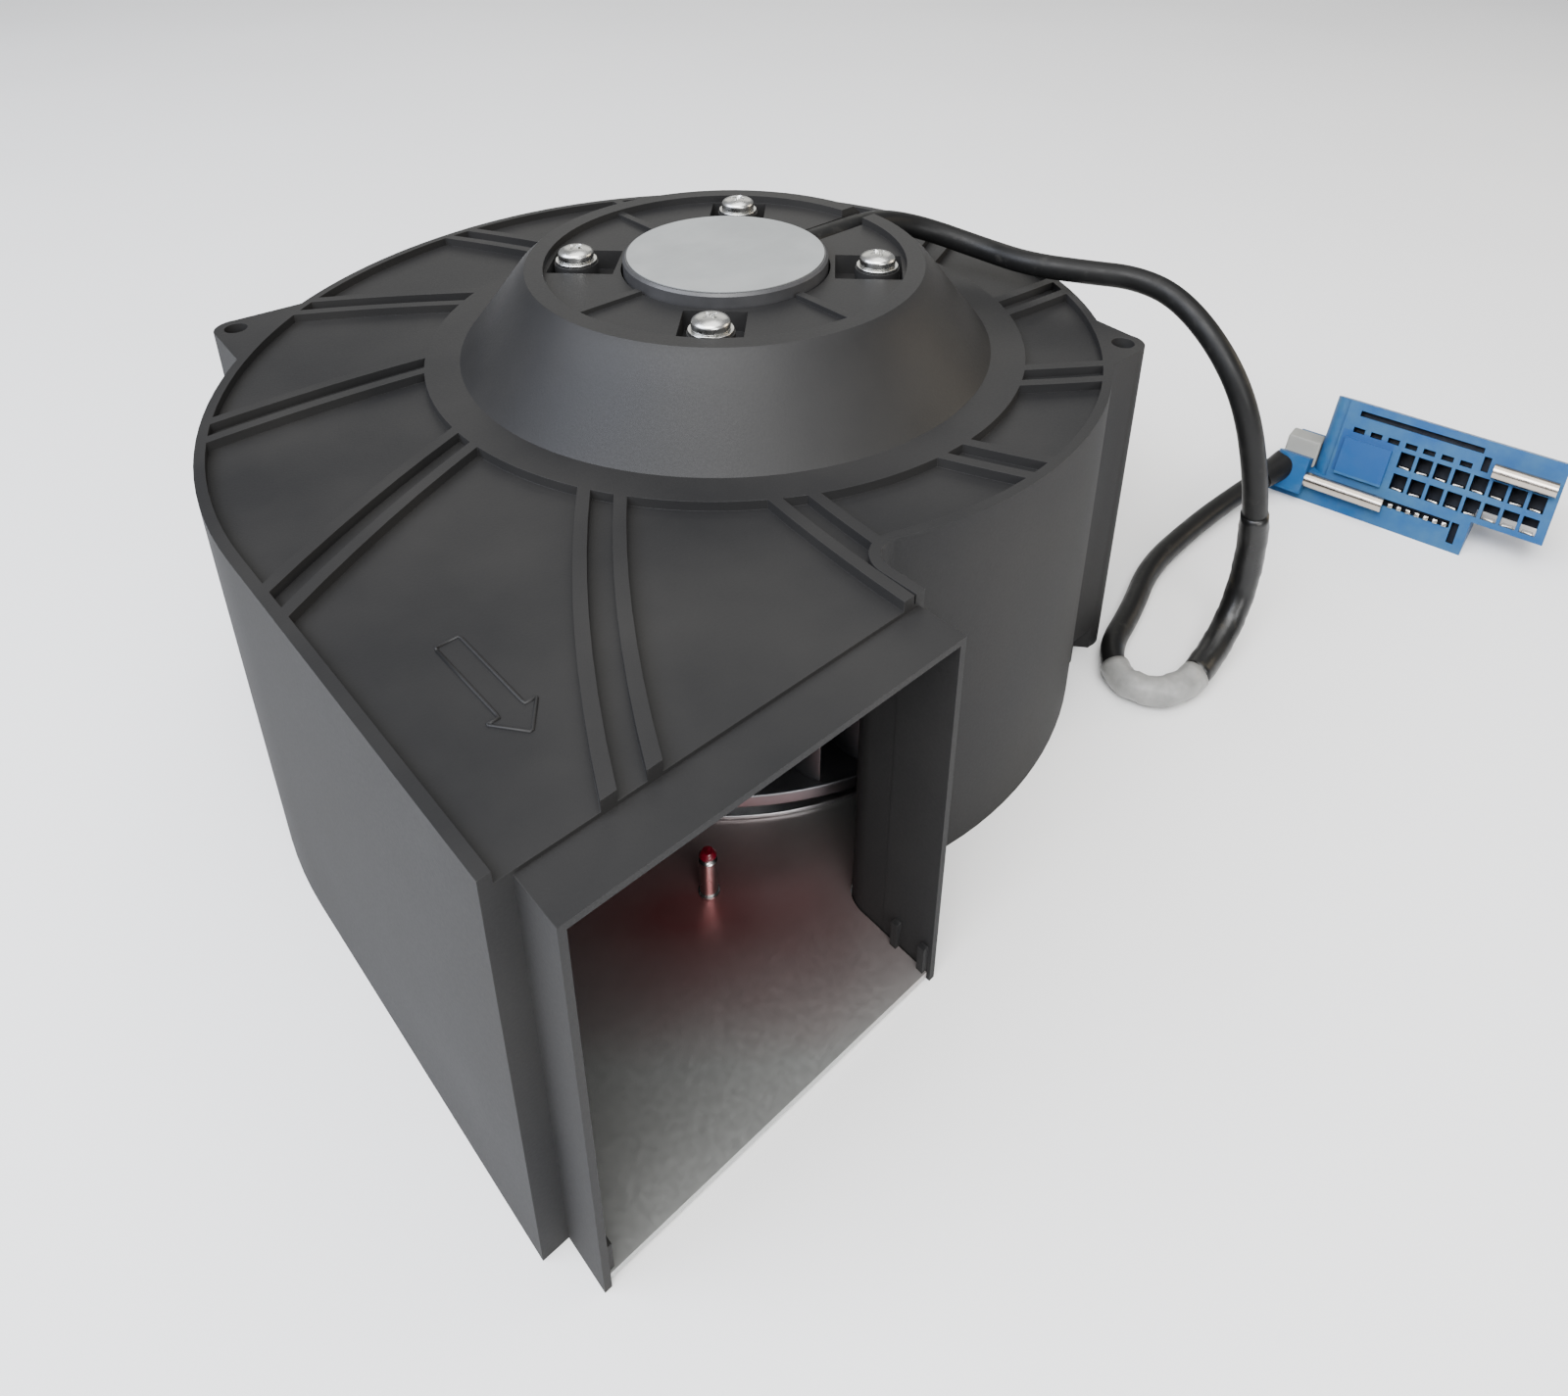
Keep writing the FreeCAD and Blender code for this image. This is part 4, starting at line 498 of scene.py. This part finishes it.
def dress_frame():
    """Every CAD node gets its slot's material, welded smooth faces and a small edge radius."""
    for part in frame["record"]["subparts"]:
        piece = nodes[part["node"]]
        piece.data.materials.clear()
        piece.data.materials.append(MATERIALS[part["material_slot"]])
        for face in piece.data.polygons:
            face.use_smooth = True
            face.material_index = 0
        weld = piece.modifiers.new("weld", "WELD")
        weld.merge_threshold = WELD_REACH
        round_edges(piece, EDGE_RADII_MM.get(part["node"], PLAIN_EDGE_MM) * MM)


# New pieces

def new_object(name, data):
    """Object for the data, linked into the scene."""
    piece = bpy.data.objects.new(name, data)
    bpy.context.scene.collection.objects.link(piece)
    return piece


def mesh_piece(name, material):
    """New empty mesh object that rides on the fan's frame."""
    mesh = bpy.data.meshes.new(name)
    piece = new_object(name, mesh)
    mesh.materials.append(MATERIALS[material])
    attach(piece, "fan_frame")
    return piece


def fill(piece, shape):
    """Put the shape into the piece's mesh, with smooth faces that look outwards."""
    bmesh.ops.recalc_face_normals(shape, faces=shape.faces)
    for face in shape.faces:
        face.smooth = True
    shape.to_mesh(piece.data)
    shape.free()


def as_seen(piece):
    """New mesh of the piece with its modifiers or its curve worked out."""
    graph = bpy.context.evaluated_depsgraph_get()
    return bpy.data.meshes.new_from_object(piece.evaluated_get(graph))


def angles(sides):
    return [2 * math.pi * step / sides for step in range(sides)]


def skin(shape, rings):
    """Faces between each ring of points and the next; a ring may be one point repeated."""
    for one, two in zip(rings, rings[1:]):
        for step in range(len(one)):
            following = (step + 1) % len(one)
            corners = (one[step], one[following], two[following], two[step])
            shape.faces.new(list(dict.fromkeys(corners)))


def tube(points, radius_at, sides):
    """Closed tube along points; radius_at(share along, angle) gives its radius."""
    shape = bmesh.new()
    side = (points[1] - points[0]).orthogonal().normalized()
    rings = []
    for number, point in enumerate(points):
        before, after = points[max(number - 1, 0)], points[min(number + 1, len(points) - 1)]
        along = (after - before).normalized()
        side = (side - along * side.dot(along)).normalized()
        other = along.cross(side)
        share = number / (len(points) - 1)
        ring = []
        for angle in angles(sides):
            outwards = side * math.cos(angle) + other * math.sin(angle)
            ring.append(shape.verts.new(point + outwards * radius_at(share, angle)))
        rings.append(ring)
    skin(shape, rings)
    shape.faces.new(rings[0][::-1])
    shape.faces.new(rings[-1])
    return shape


def lathe(profile, sides):
    """Closed shape turned about Z from (radius, height) pairs that start and end on the axis."""
    shape = bmesh.new()
    rings = []
    for radius, height in profile:
        if radius == 0:
            rings.append([shape.verts.new((0, 0, height))] * sides)
        else:
            rings.append([shape.verts.new((radius * math.cos(a), radius * math.sin(a), height))
                          for a in angles(sides)])
    skin(shape, rings)
    return shape


# Cable: the route of the CAD tube, as control points of one smooth spline

CABLE_ROUTE_MM = [
    (46, 0, 108.3),
    (53.5, 0, 108.3),
    (66.5, -4.5, 104),
    (75.5, -18, 99.5),
    (76, -34, 99.5),
    (84, -47, 99),
    (91.5, -57, 98.5),
    (94, -68, 96),
    (92.5, -81.5, 88),
    (90.5, -92.5, 76),
    (94, -97.5, 55),
    (99.5, -98.5, 32.5),
    (95.5, -99.5, 14),
    (82, -101, 5.5),
    (63, -102.5, 4.7),
    (55, -91.5, 4.7),
    (64.5, -80.5, 4),
    (83, -76, 4),
    (105, -68, 3.6),
    (130, -67, 4.5),
    (151, -67.9, 5.9),
    (168, -70.3, 8.1),
]

# The sleeve, the tape and the bare lead after them each start halfway along one run of the route

SLEEVE_RUN, WRAP_RUN, LEAD_RUN = 10, 13, 15

SLEEVE_SIDES = 24
SLEEVE_RADIUS = 7.9 * MM / 2
SLEEVE_INSET = 0.15 * MM
SLEEVE_WRINKLE = 0.12 * MM
SLEEVE_WAVES = (61, 23)  # radians along the sleeve of the two waves that make its wrinkles
SLEEVE_TAPER = 0.25 * MM
SLEEVE_TAPER_SHARE = 0.06

WRAP_SIDES = 32
WRAP_RADIUS = 8.4 * MM / 2
WRAP_INSET = 0.45 * MM
WRAP_TURNS = 5
WRAP_THICKNESS = 0.28 * MM
WRAP_CREASE = 0.16 * MM
WRAP_WAVE = 17  # radians along the tape of the wave that makes its creases


def sleeve_radius(share, angle):
    """Fine wrinkles, and ends that close in on the cable."""
    short, long = (share * wave for wave in SLEEVE_WAVES)
    wrinkle = math.sin(short) * math.sin(long + angle * 2) * SLEEVE_WRINKLE
    to_end = min(share, 1 - share) / SLEEVE_TAPER_SHARE
    return SLEEVE_RADIUS - SLEEVE_INSET + wrinkle - SLEEVE_TAPER * max(1 - to_end, 0)


def wrap_radius(share, angle):
    """Tape that rises a little over each turn, drops at its edge, and has shallow creases."""
    turn = (share * WRAP_TURNS + angle / (2 * math.pi)) % 1.0
    crease = math.sin(angle * 3 + share * WRAP_WAVE) * WRAP_CREASE
    return WRAP_RADIUS - WRAP_INSET + turn * WRAP_THICKNESS + crease


def route_curve(name, radius):
    """The cable's spline, as a round cord or, with no radius, a bare line."""
    data = bpy.data.curves.new(name, "CURVE")
    data.dimensions = "3D"
    data.resolution_u = 10
    data.bevel_depth = radius
    data.bevel_resolution = 6
    data.use_fill_caps = True
    spline = data.splines.new("NURBS")
    spline.points.add(len(CABLE_ROUTE_MM) - 1)
    for point, place in zip(spline.points, CABLE_ROUTE_MM):
        point.co = (*(v * MM for v in place), 1)
    spline.order_u = 3
    spline.use_endpoint_u = True
    return new_object(name, data)


def centreline():
    """Points along the spline itself."""
    bare = route_curve("bare_route", 0)
    points = [v.co.copy() for v in as_seen(bare).vertices]
    bpy.data.objects.remove(bare)
    return points


def stretch_of(points, first_run, last_run):
    """The points between the middles of two runs of the route."""
    ends = []
    for run in (first_run, last_run):
        start, end = (Vector(place) * MM for place in CABLE_ROUTE_MM[run:run + 2])
        middle = (start + end) / 2
        ends.append(min(range(len(points)), key=lambda i: (points[i] - middle).length))
    return points[ends[0]:ends[1] + 1]


def cable():
    """The whole cable as one cord, with the sleeve and the tape round it."""
    cord = route_curve("cable", CABLE_DIAMETER / 2)
    cord.data.materials.append(MATERIALS["cable_rubber"])
    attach(cord, "fan_frame")
    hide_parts("motor_cable", "connector_lead")
    line = centreline()

    sleeve = mesh_piece("shrink_sleeve", "sleeve_rubber")
    fill(sleeve, tube(stretch_of(line, SLEEVE_RUN, WRAP_RUN), sleeve_radius, SLEEVE_SIDES))
    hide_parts("cable_sleeve")
    wrap = mesh_piece("marker_tape", "wrap_white")
    fill(wrap, tube(stretch_of(line, WRAP_RUN, LEAD_RUN), wrap_radius, WRAP_SIDES))
    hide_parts("marker_wrap")


# Screws: pan heads with a cross recess, on the CAD washers

SCREW_SIDES = 48
SCREW_EDGE = 0.1 * MM
SCREW_TURNS = (0.5, 1.8, 3.1, 4.4)  # how far each cross is turned, in radians
HEAD_RADIUS, HEAD_HEIGHT, SHANK_RADIUS = 4.3 * MM, 3.2 * MM, 2.0 * MM
HEAD_CHAMFER = 0.3 * MM
HEAD_RIM = 0.45 * HEAD_HEIGHT
DOME_STEP = 10  # degrees
RECESS_LENGTH, RECESS_WIDTH, RECESS_DEPTH = 4.4 * MM, 1.0 * MM, 1.7 * MM
RECESS_FOOT_LENGTH, RECESS_FOOT_WIDTH = 0.45 * RECESS_LENGTH, 0.6 * RECESS_WIDTH
RECESS_ABOVE = 0.2 * MM  # how far its cutter stands out of the head


def screw_profile():
    """Shank, seat, upright rim and a shallow dome."""
    seat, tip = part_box("motor_washers")[1].z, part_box("motor_screws")[0].z
    dome = []
    for degrees in range(0, 90, DOME_STEP):
        angle = math.radians(degrees)
        height = seat + HEAD_RIM + (HEAD_HEIGHT - HEAD_RIM) * math.sin(angle)
        dome.append((HEAD_RADIUS * math.cos(angle), height))
    return [(0, tip), (SHANK_RADIUS, tip), (SHANK_RADIUS, seat), (HEAD_RADIUS - HEAD_CHAMFER, seat),
            (HEAD_RADIUS, seat + HEAD_CHAMFER), *dome, (0, seat + HEAD_HEIGHT)]


def cross_cutter(top):
    """Two crossed wedges that narrow towards the bottom of the recess."""
    recess = bmesh.new()
    for turn in (0, 90):
        corners = bmesh.ops.create_cube(recess, size=1)["verts"]
        for corner in corners:
            deep = corner.co.z < 0
            corner.co.x *= RECESS_FOOT_LENGTH if deep else RECESS_LENGTH
            corner.co.y *= RECESS_FOOT_WIDTH if deep else RECESS_WIDTH
            corner.co.z = top - RECESS_DEPTH if deep else top + RECESS_ABOVE
        quarter = Matrix.Rotation(math.radians(turn), 3, "Z")
        bmesh.ops.rotate(recess, verts=corners, matrix=quarter)
    mesh = bpy.data.meshes.new("recess")
    recess.to_mesh(mesh)
    recess.free()
    return new_object("recess", mesh)


def screws():
    """One screw with its recess cut, set four times round the hub."""
    piece = mesh_piece("screws", "screw_zinc")
    profile = screw_profile()
    fill(piece, lathe(profile, SCREW_SIDES))
    cutter = cross_cutter(profile[-1][1])
    cut = piece.modifiers.new("recess", "BOOLEAN")
    cut.object = cutter
    cut.solver = "EXACT"
    cut.use_self = True
    bpy.context.view_layer.update()
    one = as_seen(piece)
    bpy.data.objects.remove(cutter)
    piece.modifiers.clear()

    ring = bmesh.new()
    for degrees, cross_turn in zip(SCREW_ANGLES, SCREW_TURNS):
        angle = math.radians(degrees)
        place = (SCREW_CIRCLE * math.cos(angle), SCREW_CIRCLE * math.sin(angle), 0)
        copy = one.copy()
        copy.transform(Matrix.Translation(place) @ Matrix.Rotation(cross_turn, 4, "Z"))
        ring.from_mesh(copy)
    fill(piece, ring)
    round_edges(piece, SCREW_EDGE)
    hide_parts("motor_screws")


# Arrow moulded on the panel, pointing the way the air leaves

ARROW_MM = [
    (-107, -53),
    (-107, -73.6),
    (-109.2, -73.6),
    (-104.8, -79.4),
    (-100.4, -73.6),
    (-102.6, -73.6),
    (-102.6, -53),
]
ARROW_LINE = 0.35 * MM
ARROW_SIDES = 12
ARROW_SHARES = (0.04, 0.5, 0.96)  # points on each side of the outline, close to its corners


def arrow():
    corners = [Vector((x * MM, y * MM, PANEL_TOP)) for x, y in ARROW_MM]
    points = []
    for one, two in zip(corners, corners[1:] + corners[:1]):
        points += [one.lerp(two, share) for share in ARROW_SHARES]
    piece = mesh_piece("flow_arrow", "housing_plastic")
    fill(piece, tube(points + points[:1], lambda share, angle: ARROW_LINE, ARROW_SIDES))


# Floor, camera and light

FLOOR_REACH = 6.0

CAMERA_PLACE = Vector((-162.57, -197.56, 219.5)) * MM
CAMERA_FORWARD = Vector((0.598, 0.659, -0.457)).normalized()
SENSOR_MM, LENS_MM = 36, 26.37
CAMERA_SHIFT = (0.0043, -0.2244)
CAMERA_NEAREST = 0.01

# Name, place, the point it looks at, width, height, watts and colour of each light

LIGHTS = (
    ("key_box", (-0.58, -0.50, 1.10), (0, 0, 0.08), 0.9, 0.7, 24, (1.0, 1.0, 1.0)),
    ("top_box", (0.0, -0.1, 1.6), (0, 0, 0), 1.5, 1.3, 20, (1.0, 0.99, 0.97)),
    ("left_window", (-1.0, 0.30, 1.0), (0, 0, 0.1), 1.1, 0.8, 27, (0.82, 0.87, 1.0)),
    ("back_box", (0.95, 1.05, 0.85), (0, 0, 0.08), 1.4, 0.9, 4, (1.0, 0.98, 0.90)),
    ("warm_side", (0.85, -0.55, 0.35), (0.09, -0.08, 0.05), 0.4, 0.4, 2.5, (1.0, 0.84, 0.62)),
    ("duct_fill", (-0.22, -0.75, 0.35), (-0.07, -0.08, 0.03), 0.35, 0.25, 3.2, (1.0, 1.0, 1.0)),
)
STUDIO_COLOR, STUDIO_STRENGTH = (0.95, 0.96, 0.98), 0.32


def floor():
    shape = bmesh.new()
    bmesh.ops.create_grid(shape, x_segments=1, y_segments=1, size=FLOOR_REACH)
    mesh = bpy.data.meshes.new("floor")
    shape.to_mesh(mesh)
    shape.free()
    mesh.materials.append(MATERIALS["floor_pale"])
    piece = new_object("floor", mesh)


def camera():
    data = bpy.data.cameras.new("camera")
    data.sensor_width = SENSOR_MM
    data.lens = LENS_MM
    data.shift_x, data.shift_y = CAMERA_SHIFT
    data.clip_start = CAMERA_NEAREST
    right = CAMERA_FORWARD.cross(Vector((0, 0, 1))).normalized()
    up = right.cross(CAMERA_FORWARD)
    turn = Matrix((right, up, -CAMERA_FORWARD)).transposed().to_4x4()
    eye = new_object("camera", data)
    eye.matrix_world = Matrix.Translation(CAMERA_PLACE) @ turn
    bpy.context.scene.camera = eye


def lights():
    for name, place, target, width, height, power, color in LIGHTS:
        data = bpy.data.lights.new(name, "AREA")
        data.shape = "RECTANGLE"
        data.size = width
        data.size_y = height
        data.energy = power
        data.color = color
        light = new_object(name, data)
        light.location = place
        aim = Vector(target) - Vector(place)
        light.rotation_euler = aim.to_track_quat("-Z", "Y").to_euler()


def studio():
    """Even pale light from all round."""
    world = bpy.data.worlds.new("studio")
    world.use_nodes = True
    background = world.node_tree.nodes["Background"].inputs
    background["Color"].default_value = (*STUDIO_COLOR, 1)
    background["Strength"].default_value = STUDIO_STRENGTH
    bpy.context.scene.world = world


make_materials()
dress_frame()
cable()
screws()
arrow()
floor()
camera()
lights()
studio()
